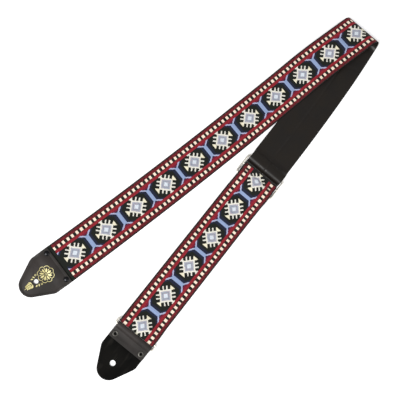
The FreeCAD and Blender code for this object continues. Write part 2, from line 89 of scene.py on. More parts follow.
ring_low, ring_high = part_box("ring")
RING_WIRE = cad_size("ring").z
ORIGIN = Vector((ring_high.x - RING_WIRE / 2 * MM, (ring_low.y + ring_high.y) / 2, 0))
LAYOUT = Matrix.Translation(ORIGIN) @ Matrix.Scale(MM, 4)
slider_low, slider_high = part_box("slider_frame")
centre_low, centre_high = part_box("slider_centre_bar")
SLIDER_WIRE = cad_size("slider_frame").z
SLIDER_X = ((centre_low.x + centre_high.x) / 2 - ORIGIN.x) / MM
SLIDER_PITCH = (cad_size("slider_frame").x - SLIDER_WIRE) / 2
RING_PITCH = cad_size("ring").x - RING_WIRE
BAND_W = cad_size("passage_backing").y
RIBBON_W = cad_size("passage_ribbon").y
RIBBON_T = 0.6
BACKING_T = 1.0
BAND_T = RIBBON_T + BACKING_T
LEATHER_T = 2.4
print("origin", ORIGIN, "slider at", SLIDER_X, "pitch", SLIDER_PITCH, "ring pitch", RING_PITCH)
print("band", BAND_W, "ribbon", RIBBON_W, "ring wire", RING_WIRE, "slider wire", SLIDER_WIRE)


def place(x, y, z):
    """A lay-out point in metres, in the model's frame."""
    return LAYOUT @ Vector((x, y, z))


# %% [markdown]
# ## Camera
#
# The strap is seen from above, leaning about 16 degrees back from straight down. The
# camera is built from its viewing direction and a roll about it, which is easier to
# reason about than three turns.

# %% Camera
TARGET = place(173.5, 39.8, 0)
LEAN = radians(15.64)
LOOK_HEADING = radians(-11.88)
ROLL = radians(38.9)
DISTANCE = 1.1
FOCAL_LENGTH, FILM_WIDTH = 80.31, 36

level = Vector((cos(LOOK_HEADING), sin(LOOK_HEADING), 0))
looking = level * sin(LEAN) - UP * cos(LEAN)
screen_a = level * cos(LEAN) + UP * sin(LEAN)
screen_b = Vector((-level.y, level.x, 0))
right = screen_a * cos(ROLL) - screen_b * sin(ROLL)
upward = screen_a * sin(ROLL) + screen_b * cos(ROLL)

camera_data = bpy.data.cameras.new("camera")
camera_data.lens = FOCAL_LENGTH
camera_data.sensor_width = FILM_WIDTH
camera = bpy.data.objects.new("camera", camera_data)
turned = Matrix((right, upward, -looking)).transposed().to_4x4()
camera.matrix_world = Matrix.Translation(TARGET - looking * DISTANCE) @ turned
bpy.context.scene.collection.objects.link(camera)
bpy.context.scene.camera = camera
print("camera at", camera.location)

# %% [markdown]
# ## Floor and light
#
# A white paper floor and two large soft lights. They stay out of the spot whose mirror
# image the camera sees in the flat black vinyl, so the black stays black. The key is on
# the ring's side, where it draws one highlight along the roll over the slider's high bar.

# %% World and lights
WORLD_STRENGTH = 0.36

bpy.context.scene.view_settings.view_transform = "Standard"
world = bpy.data.worlds.new("studio")
world.use_nodes = True
world.node_tree.nodes["Background"].inputs["Color"].default_value = (1, 1, 1, 1)
world.node_tree.nodes["Background"].inputs["Strength"].default_value = WORLD_STRENGTH
bpy.context.scene.world = world


def soft_light(name, location, size, watts):
    lamp = bpy.data.lights.new(name, "AREA")
    lamp.size = size
    lamp.energy = watts
    lamp_object = bpy.data.objects.new(name, lamp)
    lamp_object.location = location
    lamp_object.rotation_euler = (-Vector(location)).to_track_quat("-Z", "Y").to_euler()
    bpy.context.scene.collection.objects.link(lamp_object)


soft_light("key_light", (-1.2, 0.3, 1.75), size=0.8, watts=38)
soft_light("fill_light", (0.5, -1.9, 1.3), size=1.6, watts=18)
print("world strength", WORLD_STRENGTH)

# %% Floor
FLOOR_HALF_SIZE = 6           # metres

bm = bmesh.new()
bmesh.ops.create_grid(bm, x_segments=2, y_segments=2, size=FLOOR_HALF_SIZE)
floor_mesh = bpy.data.meshes.new("floor")
bm.to_mesh(floor_mesh)
bm.free()
floor = bpy.data.objects.new("floor", floor_mesh)
bpy.context.scene.collection.objects.link(floor)
print("floor", floor.dimensions)

# %% [markdown]
# ## Making and keeping a piece
#
# Each piece is shaped as a bmesh in lay-out millimetres. One function closes it up,
# makes it a mesh in metres, smooths its shading and gives it its materials.

# %% Finish a piece


def finished(bm, name, materials, sharp=40, closed=True):
    if closed:
        bmesh.ops.recalc_face_normals(bm, faces=bm.faces[:])
    mesh = bpy.data.meshes.new(name)
    bm.to_mesh(mesh)
    bm.free()
    mesh.transform(LAYOUT)
    for material in materials:
        mesh.materials.append(material)
    mesh.shade_smooth()
    mesh.set_sharp_from_angle(angle=radians(sharp))
    piece = bpy.data.objects.new(name, mesh)
    bpy.context.scene.collection.objects.link(piece)
    print(name, len(mesh.polygons), "faces")
    return piece


# %% [markdown]
# ## Colours and nodes
#
# Yarn and leather colours are written as sRGB hex values, as on a colour card. Blender
# works in linear light, so one function converts them. Another small function adds a
# node with its settings and links, and every material below is made with it.

# %% Colour and node helpers


def linear(code):
    """An sRGB hex colour as linear RGBA."""
    channels = [int(code[i:i + 2], 16) / 255 for i in (1, 3, 5)]
    return [c / 12.92 if c <= 0.04045 else ((c + 0.055) / 1.055) ** 2.4 for c in channels] + [1]


def add(tree, kind, *given, out=0, named=None, **settings):
    """Add a node, set it up, fill its sockets with values or links, return an output."""
    node = tree.nodes.new("ShaderNode" + kind)
    for key, value in settings.items():
        setattr(node, key, value)
    for key, value in list(enumerate(given)) + list((named or {}).items()):
        if isinstance(value, bpy.types.NodeSocket):
            tree.links.new(value, node.inputs[key])
        elif value is not None:
            node.inputs[key].default_value = value
    return node.outputs[out]


def new_material(name):
    """A material with nothing in its node tree but the output."""
    material = bpy.data.materials.new(name)
    material.use_nodes = True
    for node in list(material.node_tree.nodes):
        if node.type == "BSDF_PRINCIPLED":
            material.node_tree.nodes.remove(node)
    return material, material.node_tree


def surface(tree, sockets):
    """The Principled shader, joined to the material's output."""
    shader = add(tree, "BsdfPrincipled", named=sockets)
    tree.links.new(shader, tree.nodes["Material Output"].inputs["Surface"])


def white_paper():
    material, tree = new_material("white_paper")
    surface(tree, {
        "Base Color": linear("#f7f7f7"), "Roughness": 0.9, "Specular IOR Level": 0.1,
        "Emission Color": (1, 1, 1, 1), "Emission Strength": 0.3,
    })
    return material


floor.data.materials.append(white_paper())
print("first material", floor.data.materials[0].name)

# %% [markdown]
# ## Jacquard ribbon
#
# The ribbon is woven polyester: a stepped pattern of flat yarns in cream, light blue,
# navy, reds and a near-black ground. It could be painted as a picture, but a pattern
# built from the weave's own geometry stays sharp and can follow the cloth. Distances
# from the nearest motif, along (a) and across (b), are snapped to thread cells first,
# so every slanted line comes out in steps as it does on a loom. Each shape is then a
# few "is this coordinate near that value" tests multiplied together.

# %% Weave sizes in millimetres
MOTIF_PITCH = 45.8
DASH_PITCH = MOTIF_PITCH / 7
CELL_ALONG = 0.62             # one weft yarn, drawn a little coarser than the real 0.5
CELL_ACROSS = 0.56            # one warp yarn
LOWER_MOTIF_X = 8.1           # a motif's centre on the visible lower layer
YARNS = {
    "ground": "#11150f",
    "selvedge": "#141210",
    "bright_red": "#981c29",
    "deep_red": "#6f1620",
    "maroon": "#60141b",
    "wine": "#701230",
    "speck": "#2a0d11",
    "dash": "#f3e0cb",
    "cream": "#eae3c8",
    "sunburst": "#e4e1d5",
    "diamond": "#a2a8b4",
    "slate": "#858c9b",
    "pink": "#c2adb5",
    "heart": "#d3dbe4",
    "connector": "#8d9fc4",
    "pale_arm": "#a9aecd",
    "navy": "#171d33",
}
PATTERN_ENDS = 17.2           # past this the upper arm's end is plain ground yarn


def pattern_parts(a, b, c, d, e, fan, arm, dash, twill, speckle):
    """Each part of the pattern, lowest first: its yarn and its (coordinate, middle, half
    width) tests.  c is the distance from the connector, d and e run square to and along
    the diamond's sides."""
    return [
        ("navy", [(c, 0, 5.8), (b, 0, 8.0)]),
        ("navy", [(arm, 3.2, 2.0), (b, 9.6, 2.6)]),
        ("wine", [(arm, -5.4, 3.6), (b, 10.6, 1.7)]),
        ("navy", [(c, 0, 2.5), (b, 9.0, 1.0)]),
        ("pale_arm", [(arm, 0, 1.45), (b, 10.0, 2.1)]),
        ("connector", [(c, 0, 2.35), (b, 0, 8.4)]),
        ("sunburst", [(d, 12.9, 3.4), (e, 3.1, 1.1)]),
        ("cream", [(fan, -10, 10.9), (a, 11.6, 2.2)]),
        ("sunburst", [(a, 0, 1.2), (b, 9.8, 1.6)]),
        ("sunburst", [(a, 0, 2.5), (b, 11.6, 0.65)]),
        ("sunburst", [(d, 9.0, 1.2)]),
        ("diamond", [(d, 0, 7.9)]),
        ("pink", [(d, 0, 7.9), (speckle, 0, 0.2)]),
        ("slate", [(d, 5.0, 0.6)]),
        ("heart", [(d, 0, 3.1)]),
        ("bright_red", [(b, 14.05, 1.9)]),
        ("deep_red", [(b, 14.05, 1.9), (twill, 0, 0.4)]),
        ("ground", [(b, 18.1, 2.2)]),
        ("dash", [(b, 18.1, 1.9), (dash, DASH_PITCH / 2, 1.6)]),
        ("maroon", [(b, 22.2, 1.9)]),
        ("bright_red", [(b, 21.6, 1.3), (twill, 0, 0.3)]),
        ("speck", [(b, 22.3, 1.9), (speckle, 0, 0.26)]),
        ("selvedge", [(b, 25.2, 1.15)]),
    ]


print(len(YARNS), "yarns")

# %% Where a point lies in the pattern
DIAMOND_STRETCH = 1.05        # the diamond's length over its width
FAN_SLOPE, FAN_START = 0.8, 10.2
ARM_SLOPE, ARM_START = 1.4, 7.1
TWILL_HALF = 1.24


def flat_weave(tree, on_straight_run):
    """Millimetres along and across the ribbon.  A straight run that shortens when the
    slider moves takes them from its place; everywhere else they are the ribbon's map."""
    if on_straight_run:
        position = add(tree, "TexCoord", out="Object")
        start = ORIGIN + ALONG_X * (LOWER_MOTIF_X * MM)
        moved = add(tree, "VectorMath", position, start, operation="SUBTRACT")
        weave = add(tree, "VectorMath", moved, (1 / MM,) * 3, operation="MULTIPLY")
    else:
        weave = add(tree, "UVMap", uv_map="band")
    return add(tree, "VectorMath", weave, (1, 1, 0), operation="MULTIPLY")


def pattern_coordinates(tree, cell_middle, along, across):
    """The numbers that pattern_parts tests, in its order."""
    a = add(tree, "Math", along, MOTIF_PITCH / 2, operation="PINGPONG")
    b = add(tree, "Math", across, operation="ABSOLUTE")
    c = add(tree, "Math", MOTIF_PITCH / 2, a, operation="SUBTRACT")
    a_scaled = add(tree, "Math", a, 1 / DIAMOND_STRETCH, operation="MULTIPLY")
    d = add(tree, "Math", a_scaled, b, operation="ADD")
    difference = add(tree, "Math", a_scaled, b, operation="SUBTRACT")
    e = add(tree, "Math", difference, operation="ABSOLUTE")
    fan_line = add(tree, "Math", a, FAN_SLOPE, -FAN_SLOPE * FAN_START, operation="MULTIPLY_ADD")
    fan = add(tree, "Math", b, fan_line, operation="SUBTRACT")
    arm_line = add(tree, "Math", b, ARM_SLOPE, -ARM_SLOPE * ARM_START, operation="MULTIPLY_ADD")
    arm = add(tree, "Math", c, arm_line, operation="SUBTRACT")
    dash = add(tree, "Math", along, DASH_PITCH / 2, operation="PINGPONG")
    diagonal = add(tree, "Math", along, across, operation="ADD")
    twill = add(tree, "Math", diagonal, TWILL_HALF, operation="PINGPONG")
    speckle = add(tree, "TexWhiteNoise", cell_middle, noise_dimensions="2D")
    return a, b, c, d, e, fan, arm, dash, twill, speckle


print("one motif every", MOTIF_PITCH, "mm, one dash every", round(DASH_PITCH, 2), "mm")

# %% Which yarn shows
PLAIN_LENGTH = 20             # length of plain ground past the pattern's end
YARN_LIGHTNESS = (0.8, 1.12)  # darkest and lightest yarn of one colour


def yarn_colour(tree, coordinates):
    """Lay the parts of the pattern over the ground, lowest first."""
    colour = add(tree, "RGB")
    colour.default_value = linear(YARNS["ground"])
    for yarn, tests in pattern_parts(*coordinates):
        mask = None
        for coordinate, centre, half in tests:
            test = add(tree, "Math", coordinate, centre, half, operation="COMPARE")
            mask = test if mask is None else add(tree, "Math", mask, test, operation="MULTIPLY")
        named = {0: mask, 6: colour, 7: linear(YARNS[yarn])}
        colour = add(tree, "Mix", named=named, out=2, data_type="RGBA")
    return colour


def plain_past_the_pattern(tree, colour, along):
    """Ground yarn only, for a short length at the upper arm's end."""
    begun = add(tree, "Math", along, PATTERN_ENDS, operation="GREATER_THAN")
    not_past = add(tree, "Math", along, PATTERN_ENDS + PLAIN_LENGTH, operation="LESS_THAN")
    bare = add(tree, "Math", begun, not_past, operation="MULTIPLY")
    named = {0: bare, 6: colour, 7: linear(YARNS["ground"])}
    return add(tree, "Mix", named=named, out=2, data_type="RGBA")


def uneven_yarns(tree, colour, speckle, along):
    """Yarns differ a little from one another, and whole picks differ along the cloth."""
    pick = add(tree, "TexWhiteNoise", named={"W": along}, noise_dimensions="1D")
    uneven = add(tree, "Math", speckle, pick, operation="ADD")
    lightness = add(tree, "MapRange", uneven, 0.0, 2.0, *YARN_LIGHTNESS)
    return add(tree, "HueSaturation", named={"Value": lightness, "Color": colour})


print("yarn lightness", YARN_LIGHTNESS)

# %% The jacquard material


def yarn_crowns(tree, flat, cell):
    """Each cell of the weave is the crown of one yarn."""
    share = add(tree, "VectorMath", flat, cell, operation="DIVIDE")
    part = add(tree, "VectorMath", share, operation="FRACTION")
    rest = add(tree, "VectorMath", (1, 1, 1), part, operation="SUBTRACT")
    crown = add(tree, "VectorMath", part, rest, operation="MULTIPLY")
    crowns = add(tree, "SeparateXYZ", crown).node
    height = add(tree, "Math", crowns.outputs[0], crowns.outputs[1], operation="MULTIPLY")
    return add(tree, "Bump", named={"Height": height, "Strength": 0.55, "Distance": 0.0016})


def jacquard(name, on_straight_run):
    """The woven ribbon: stepped colour, uneven yarns and a crown on every yarn."""
    material, tree = new_material(name)
    cell, half_cell = (CELL_ALONG, CELL_ACROSS, 1), (CELL_ALONG / 2, CELL_ACROSS / 2, 0)
    flat = flat_weave(tree, on_straight_run)
    snapped = add(tree, "VectorMath", flat, cell, operation="SNAP")
    cell_middle = add(tree, "VectorMath", snapped, half_cell, operation="ADD")
    parted = add(tree, "SeparateXYZ", cell_middle).node
    along, across = parted.outputs[0], parted.outputs[1]
    coordinates = pattern_coordinates(tree, cell_middle, along, across)
    colour = yarn_colour(tree, coordinates)
    if not on_straight_run:
        colour = plain_past_the_pattern(tree, colour, along)
    surface(tree, {
        "Base Color": uneven_yarns(tree, colour, coordinates[-1], along),
        "Normal": yarn_crowns(tree, flat, cell), "Roughness": 0.78,
        "Specular IOR Level": 0.25, "Sheen Weight": 0.12, "Sheen Roughness": 0.45,
    })
    return material


woven_ribbon = jacquard("woven_polyester_jacquard", False)
woven_ribbon_straight = jacquard("woven_polyester_jacquard_straight", True)
print("jacquard nodes", len(woven_ribbon.node_tree.nodes))

# %% [markdown]
# ## Vinyl backing
#
# The back is embossed PVC: black, a little warm, with a fine pebble grain and a dull
# shine that comes and goes where it has been handled. Its grain is about 0.9 mm. Its cut
# rims are matt, and painted darker as a shade that keeps grazing reflections off them.

# %% Vinyl
GRAIN = 0.9                   # millimetres between pebbles
PATCH_SCALE = 45.0            # patches of finish about 22 mm across
FINE_SCALE = 900.0            # fine unevenness of about 1 mm
STREAK_SCALE = 60.0           # scuffs about 17 mm apart, stretched by each material


def grained(name, light, dark, roughness, grain, depth, specular, streaks=None):
    """Black sheet goods: pebbles pressed in, patches of duller and shinier finish, and
    where it is asked for, pale scuff streaks."""
    material, tree = new_material(name)
    position = add(tree, "TexCoord", out="Object")
    patch_settings = {"Vector": position, "Scale": PATCH_SCALE, "Detail": 3.0}
    patches = add(tree, "TexNoise", named=patch_settings)
    fine_settings = {"Vector": position, "Scale": FINE_SCALE, "Detail": 2.0}
    fine = add(tree, "TexNoise", named=fine_settings)
    pebbles = add(tree, "TexVoronoi", named={"Vector": position, "Scale": 1 / (grain * MM)})
    worn = add(tree, "MapRange", patches, 0.35, 0.65, 0.0, 1.0)
    named = {0: worn, 6: linear(dark), 7: linear(light)}
    colour = add(tree, "Mix", named=named, out=2, data_type="RGBA")
    shine = add(tree, "MapRange", patches, 0.3, 0.7, roughness + 0.07, roughness - 0.07)
    if streaks:
        stretched = add(tree, "Mapping", position, named={"Scale": streaks["scale"]})
        line_settings = {"Vector": stretched, "Scale": STREAK_SCALE, "Detail": 5.0}
        lines = add(tree, "TexNoise", named=line_settings)
        scuffed = add(tree, "MapRange", lines, 0.52, 0.72, 0.0, 0.75)
        named = {0: scuffed, 6: colour, 7: linear(streaks["colour"])}
        colour = add(tree, "Mix", named=named, out=2, data_type="RGBA")
    relief = add(tree, "Math", pebbles, fine, operation="ADD")
    bump = add(tree, "Bump", named={"Height": relief, "Strength": 0.5, "Distance": depth * MM})
    surface(tree, {
        "Base Color": colour, "Roughness": shine, "Normal": bump, "IOR": 1.5,
        "Specular IOR Level": specular,
    })
    return material


vinyl = grained("embossed_pvc_vinyl", "#1c1712", "#14100d", 0.4, GRAIN, 0.06, 0.34)
# The rims' darker colour is a painted shade that keeps grazing reflections off the band's cut edges.
rim_shaded_vinyl = grained("matt_vinyl_rim_painted_shade", "#0c0a09", "#080706", 0.9, 0.4, 0.05, 0.05)
print("vinyl ready")

# %% [markdown]
# ## Leather, metal, thread and foil
#
# The tabs are cut from 2.4 mm leather. Their finished side has a small pebble grain;
# the side that shows on the lower blade is the flesh side, duller and scuffed. The
# slider and ring are nickel-plated wire, the rivets and eyelets blackened steel, and
# the sewing thread is black polyester.

# %% Leathers
top_grain = grained("pebbled_top_grain_leather", "#35302e", "#292624", 0.56, 0.7, 0.1, 0.24)
scuffs = {"scale": (0.6, 2.2, 1.0), "colour": "#24221f"}
flesh_side = grained(
    "scuffed_flesh_side_leather", "#100f0d", "#0b0b0a", 0.88, 0.45, 0.14, 0.08, scuffs
)
edge_paint = grained("edge_painted_leather", "#1a1817", "#131111", 0.5, 0.3, 0.04, 0.25)
TAB_MATERIALS = [top_grain, flesh_side, edge_paint]
print("leathers ready")

# %% Metals and foil
MARK_SCALE = 160.0            # handling marks about 6 mm apart


def metal(name, colour, dull, roughness, smear, metallic=1.0):
    """Plated wire: a clear metal whose polish is broken by handling marks."""
    material, tree = new_material(name)
    position = add(tree, "TexCoord", out="Object")
    mark_settings = {"Vector": position, "Scale": MARK_SCALE, "Detail": 4.0}
    marks = add(tree, "TexNoise", named=mark_settings)
    share = add(tree, "MapRange", marks, 0.4, 0.7, 0.0, 1.0)
    named = {0: share, 6: linear(colour), 7: linear(dull)}
    tint = add(tree, "Mix", named=named, out=2, data_type="RGBA")
    polish = add(tree, "MapRange", marks, 0.3, 0.7, roughness, roughness + smear)
    bump = add(tree, "Bump", named={"Height": marks, "Strength": 0.15, "Distance": 0.0002})
    surface(tree, {
        "Base Color": tint, "Metallic": metallic, "Roughness": polish, "Normal": bump,
    })
    return material


nickel = metal("nickel_plated_wire", "#f8f5ec", "#e2ddd2", 0.32, 0.12, 0.85)
black_steel = metal("blackened_steel", "#3a3a3c", "#1c1c1e", 0.24, 0.16)
antique_steel = metal("antique_finish_steel", "#66645f", "#4a4845", 0.4, 0.16)
# The bore's near-black colour is a painted shade for the dark inside of the eyelets' holes.
bore_shadow = metal("bore_painted_shade", "#141312", "#0c0c0b", 0.7, 0.1, 0.0)
gold_foil = metal("pressed_gold_foil", "#e0d79c", "#bfb272", 0.5, 0.2, 0.35)
print("metals and foil ready")

# %% Thread
PLY_SCALE = 700.0             # ridges of the ply, coarser than the real ones


def sewing_thread():
    """Twisted polyester with its ply as fine slanting ridges, painted lighter on their crests and darker in
    their grooves.
    """
    material, tree = new_material("black_polyester_thread")
    position = add(tree, "TexCoord", out="Object")
    ply_settings = {"Vector": position, "Scale": PLY_SCALE, "Distortion": 1.0}
    ply = add(tree, "TexWave", named=ply_settings, bands_direction="DIAGONAL")
    bump = add(tree, "Bump", named={"Height": ply, "Strength": 0.4, "Distance": 0.0002})
    # The colour follows the ply's height: a painted highlight on the crests and painted shade in the
    # grooves.
    named = {0: ply, 6: linear("#151312"), 7: linear("#24211f")}
    colour = add(tree, "Mix", named=named, out=2, data_type="RGBA")
    surface(tree, {"Base Color": colour, "Roughness": 0.55, "Normal": bump})
    return material


black_thread = sewing_thread()
print("thread ready")

# %% [markdown]
# ## The courses of the band
#
# The band never stretches: it only runs straight or bends. So each length of it is
# written as a course of straights and arcs in a side view, walked in short steps. Each
# step gives a station: the middle of the patterned face, the direction across, the
# direction out of the patterned face, and the distance along the ribbon.

# %% Walk a course
STEP = 1.5                    # millimetres between stations
ARC_STEP = 9                  # degrees between stations in a tight bend


class Course:
    """A line of straights and arcs in the XZ plane, with the patterned face on its left."""

    def __init__(self, x, z, angle, step=STEP):
        self.point = Vector((x, 0, z))
        self.angle = angle
        self.step = step
        self.walked = [(self.point.copy(), angle)]

    def direction(self, extra=0):
        turned = radians(self.angle + extra)
        return Vector((cos(turned), 0, sin(turned)))

    def straight(self, length):
        count = max(1, round(length / self.step))
        for i in range(count if length > 1e-6 else 0):
            self.point = self.point + self.direction() * (length / count)
            self.walked.append((self.point.copy(), self.angle))
        return self

    def straight_to_x(self, x):
        return self.straight(abs(x - self.point.x) / abs(self.direction().x))

    def turn(self, radius, angle):
        side = 1 if angle > 0 else -1
        centre = self.point + self.direction(90) * (radius * side)
        length = radians(abs(angle)) * radius
        count = max(2, round(max(abs(angle) / ARC_STEP, length / self.step)))
        for i in range(count):
            self.angle += angle / count
            self.point = centre - self.direction(90) * (radius * side)
            self.walked.append((self.point.copy(), self.angle))
        return self

    def shift(self, rise, radius, second_radius=None):
        """Two opposite arcs that move the line to its left by rise."""
        total = radius + (second_radius or radius)
        bend = degrees(acos(1 - abs(rise) / total)) * (1 if rise > 0 else -1)
        return self.turn(radius, bend).turn(second_radius or radius, -bend)

    def stations(self, begin=0.0, face=BAND_T / 2):
        """Stations on the line moved to its left by face, with the walk along it."""
        made, along = [], begin
        for i, (point, angle) in enumerate(self.walked):
            if i:
                along += (point - self.walked[i - 1][0]).length
            normal = Vector((-sin(radians(angle)), 0, cos(radians(angle))))
            made.append((point + normal * face, ACROSS_Y, normal, along))
        return made


# %% Levels at the slider and the ring, as in the CAD
LAYER = BAND_T + 0.1          # a layer and the air above it
MID = BAND_T / 2
WRAP_GAP = 0.15               # air between the band and the slider's wire
TURN_GAP = 0.3                # air between the band and the ring's wire
STRAP_Z = MID
TAIL_Z = STRAP_Z + LAYER
SLIDER_Z = (slider_low.z + slider_high.z) / 2 / MM
RING_Z = (ring_low.z + ring_high.z) / 2 / MM
OVER_BAR_Z = SLIDER_Z + SLIDER_WIRE / 2 + WRAP_GAP + MID
WRAP_R = SLIDER_WIRE / 2 + WRAP_GAP + MID
TURN_R = RING_WIRE / 2 + TURN_GAP + MID
DIP = OVER_BAR_Z - STRAP_Z
RAMP_R, CREST_R, CREST_SHELF = 14.0, 6.0, 0.5    # up to and over the high bar
DIP_R, BAR_SHELF, DROP_R = 4.0, 2.1, 20.0        # between the bars and off the low bar
TOP_SHELF, TOP_BEND_R, SETTLE_R = 3.2, 5.0, 40.0
TURN_END_X, PASSAGE_LOW_X, PASSAGE_HIGH_X, LOWER_RUN_X = 4.0, 205.5, 278.5, 316.5
HIGH_BAR_X = SLIDER_X + SLIDER_PITCH
LOW_BAR_X = SLIDER_X - SLIDER_PITCH
print("slider level", SLIDER_Z, "ring level", RING_Z)


def bend_run(rise, radius, second_radius=None):
    """How far a shift of that rise takes the line along."""
    total = radius + (second_radius or radius)
    return total * sin(acos(1 - abs(rise) / total))


# %% Courses through the slider and round the ring


def passage_course():
    """Up over the high bar, under the centre bar, up over the low bar, down again."""
    line = Course(PASSAGE_HIGH_X, STRAP_Z, 180)
    line.straight_to_x(HIGH_BAR_X + BAR_SHELF / 2 + bend_run(DIP, RAMP_R))
    line.shift(-DIP, RAMP_R)
    line.straight_to_x(HIGH_BAR_X - CREST_SHELF)
    line.shift(DIP, CREST_R, DIP_R)
    line.straight_to_x(LOW_BAR_X + BAR_SHELF + bend_run(DIP, DIP_R))
    line.shift(-DIP, DIP_R)
    line.straight_to_x(LOW_BAR_X - BAR_SHELF)
    line.shift(DIP, DROP_R)
    line.straight_to_x(PASSAGE_LOW_X)
    return line


def tail_course():
    """Over the low bar, round the centre bar and back between the other two layers."""
    top_z = OVER_BAR_Z + 2 * LAYER
    start_z = TAIL_Z + LAYER
    line = Course(PASSAGE_LOW_X, start_z, 0)
    line.straight_to_x(LOW_BAR_X - BAR_SHELF - bend_run(top_z - start_z, DROP_R))
    line.shift(top_z - start_z, DROP_R - 2 * LAYER, DROP_R + 2 * LAYER)
    line.straight_to_x(LOW_BAR_X + TOP_SHELF)
    line.shift(OVER_BAR_Z - top_z, TOP_BEND_R)
    line.straight_to_x(SLIDER_X)
    line.turn(WRAP_R, -180)
    line.straight_to_x(LOW_BAR_X + BAR_SHELF + bend_run(DIP, DIP_R))
    line.shift(-DIP, DIP_R - LAYER, DIP_R + LAYER)
    line.straight_to_x(LOW_BAR_X - BAR_SHELF)
    line.shift(DIP, DROP_R + LAYER, DROP_R - LAYER)
    return line


def ring_turn_course():
    line = Course(TURN_END_X, RING_Z - TURN_R, 180, step=STEP / 3)
    line.straight_to_x(0)
    line.turn(TURN_R, -180)
    line.straight_to_x(TURN_END_X)
    return line


def under_run_course():
    rise = RING_Z - TURN_R - STRAP_Z
    line = Course(PASSAGE_LOW_X, STRAP_Z, 180)
    line.straight_to_x(TURN_END_X + bend_run(rise, SETTLE_R))
    line.shift(-rise, SETTLE_R)
    return line


def return_course():
    line = Course(TURN_END_X, RING_Z + TURN_R, 0)
    line.shift(TAIL_Z - RING_Z - TURN_R, SETTLE_R)
    line.straight_to_x(PASSAGE_LOW_X - bend_run(LAYER, SETTLE_R))
    line.shift(LAYER, SETTLE_R)
    return line


# %% [markdown]
# ## The plan of the two arms
#
# Past the slider the band bends in plan instead: a little on the lower arm, then a
# half turn at the fold whose outer edge is looser than its inner one, then two gentle
# bends down the upper arm. These stations are edge pairs first, as in the CAD, and a
# smooth curve is run through them.

# %% Stations of the lower arm, the fold and the upper arm
FOLD_OUTER, FOLD_INNER = Vector((478.9, -17.8, 0)), Vector((486.6, 32.9, 0))
FOLD_R_OUTER, FOLD_R_INNER = 11.0, 6.5
FOLD_SHIFT_OUTER, FOLD_SHIFT_INNER = 9.5, 8.0
LOWER_CURVE_X, LOWER_CURVE_R = PASSAGE_HIGH_X, 2800.0
NEAR_BEND_END = Vector((389.5, 38.0, 0))
NEAR_HEADING, TAB_HEADING = 10.5, 13.9
FAR_LENGTH, STRAP_UNDER_TAB = 395.3, 9.5
SLOPE_LENGTH, CROSSING_START, CROSSING_END = 150.0, 185.0, 240.0
ARM_GAP = 0.3                 # air between the arms where they cross
SETTLE_START = 48             # the lower arm turns into the fold from here on
FOLD_AXIS = (FOLD_INNER - FOLD_OUTER).normalized()
FOLD_OUT = FOLD_AXIS.cross(UP)


def smooth(t):
    t = min(max(t, 0.0), 1.0)
    return t * t * (3 - 2 * t)


def heading(angle):
    return Vector((cos(radians(angle)), sin(radians(angle)), 0))


def lower_station(x):
    past = max(0.0, x - LOWER_CURVE_X)
    centre = Vector((x, past * past / (2 * LOWER_CURVE_R), 0))
    across = heading(degrees(past / LOWER_CURVE_R) + 90) * (BAND_W / 2)
    return centre - across, centre + across, UP


def mixed(first, second, share):
    outer = first[0].lerp(second[0], share)
    inner = first[1].lerp(second[1], share)
    return outer, inner, first[2].lerp(second[2], share).normalized()


def fold_station(turned):
    """From 0, the lower arm, to 180 degrees, the upper arm."""
    angle = radians(turned)
    sides = []
    for start, radius, travel in (
        (FOLD_OUTER, FOLD_R_OUTER, FOLD_SHIFT_OUTER),
        (FOLD_INNER, FOLD_R_INNER, FOLD_SHIFT_INNER),
    ):
        swing = FOLD_OUT * (radius * sin(angle)) + UP * (radius * (1 - cos(angle)))
        sides.append(start + FOLD_AXIS * (travel * turned / 180) + swing)
    return sides[0], sides[1], UP * cos(angle) - FOLD_OUT * sin(angle)


def far_heading(along):
    return NEAR_HEADING + (TAB_HEADING - NEAR_HEADING) * along / FAR_LENGTH


def far_point(along, steps=24):
    point = NEAR_BEND_END.copy()
    for i in range(steps):
        point += heading(180 - far_heading((i + 0.5) / steps * along)) * (along / steps)
    return point


FOLD_TOP = fold_station(180)
fold_top_centre = (FOLD_TOP[0] + FOLD_TOP[1]) / 2
fold_top_centre.z = 0
NEAR_LENGTH = (fold_top_centre - NEAR_BEND_END).length
ARM_LENGTH = NEAR_LENGTH + FAR_LENGTH + STRAP_UNDER_TAB


def near_point(t):
    """The cubic between the fold and the end of the sharper bend."""
    start, end = fold_top_centre, NEAR_BEND_END
    leave = (start - end).normalized() * -NEAR_LENGTH
    arrive = heading(180 - NEAR_HEADING) * NEAR_LENGTH
    point = start * (2 * t ** 3 - 3 * t ** 2 + 1) + leave * (t ** 3 - 2 * t ** 2 + t)
    point += end * (3 * t ** 2 - 2 * t ** 3) + arrive * (t ** 3 - t ** 2)
    slope = (start - end) * (6 * t ** 2 - 6 * t) + leave * (3 * t ** 2 - 4 * t + 1)
    slope += arrive * (3 * t ** 2 - 2 * t)
    return point, slope.normalized()


def upper_station(along):
    if along < NEAR_LENGTH:
        centre, forward = near_point(along / NEAR_LENGTH)
    else:
        centre = far_point(along - NEAR_LENGTH)
        forward = heading(180 - far_heading(along - NEAR_LENGTH))
    across = forward.cross(UP) * (BAND_W / 2)
    lift = 1 - smooth(along / SLOPE_LENGTH)
    crossing = smooth((CROSSING_END - along) / (CROSSING_END - CROSSING_START))
    base = UP * ((BAND_T + ARM_GAP) * crossing + BAND_T)
    outer = centre - across + base
    inner = centre + across + base
    outer.z += (FOLD_TOP[0].z - base.z) * lift
    inner.z += (FOLD_TOP[1].z - base.z) * lift
    return outer, inner, -UP


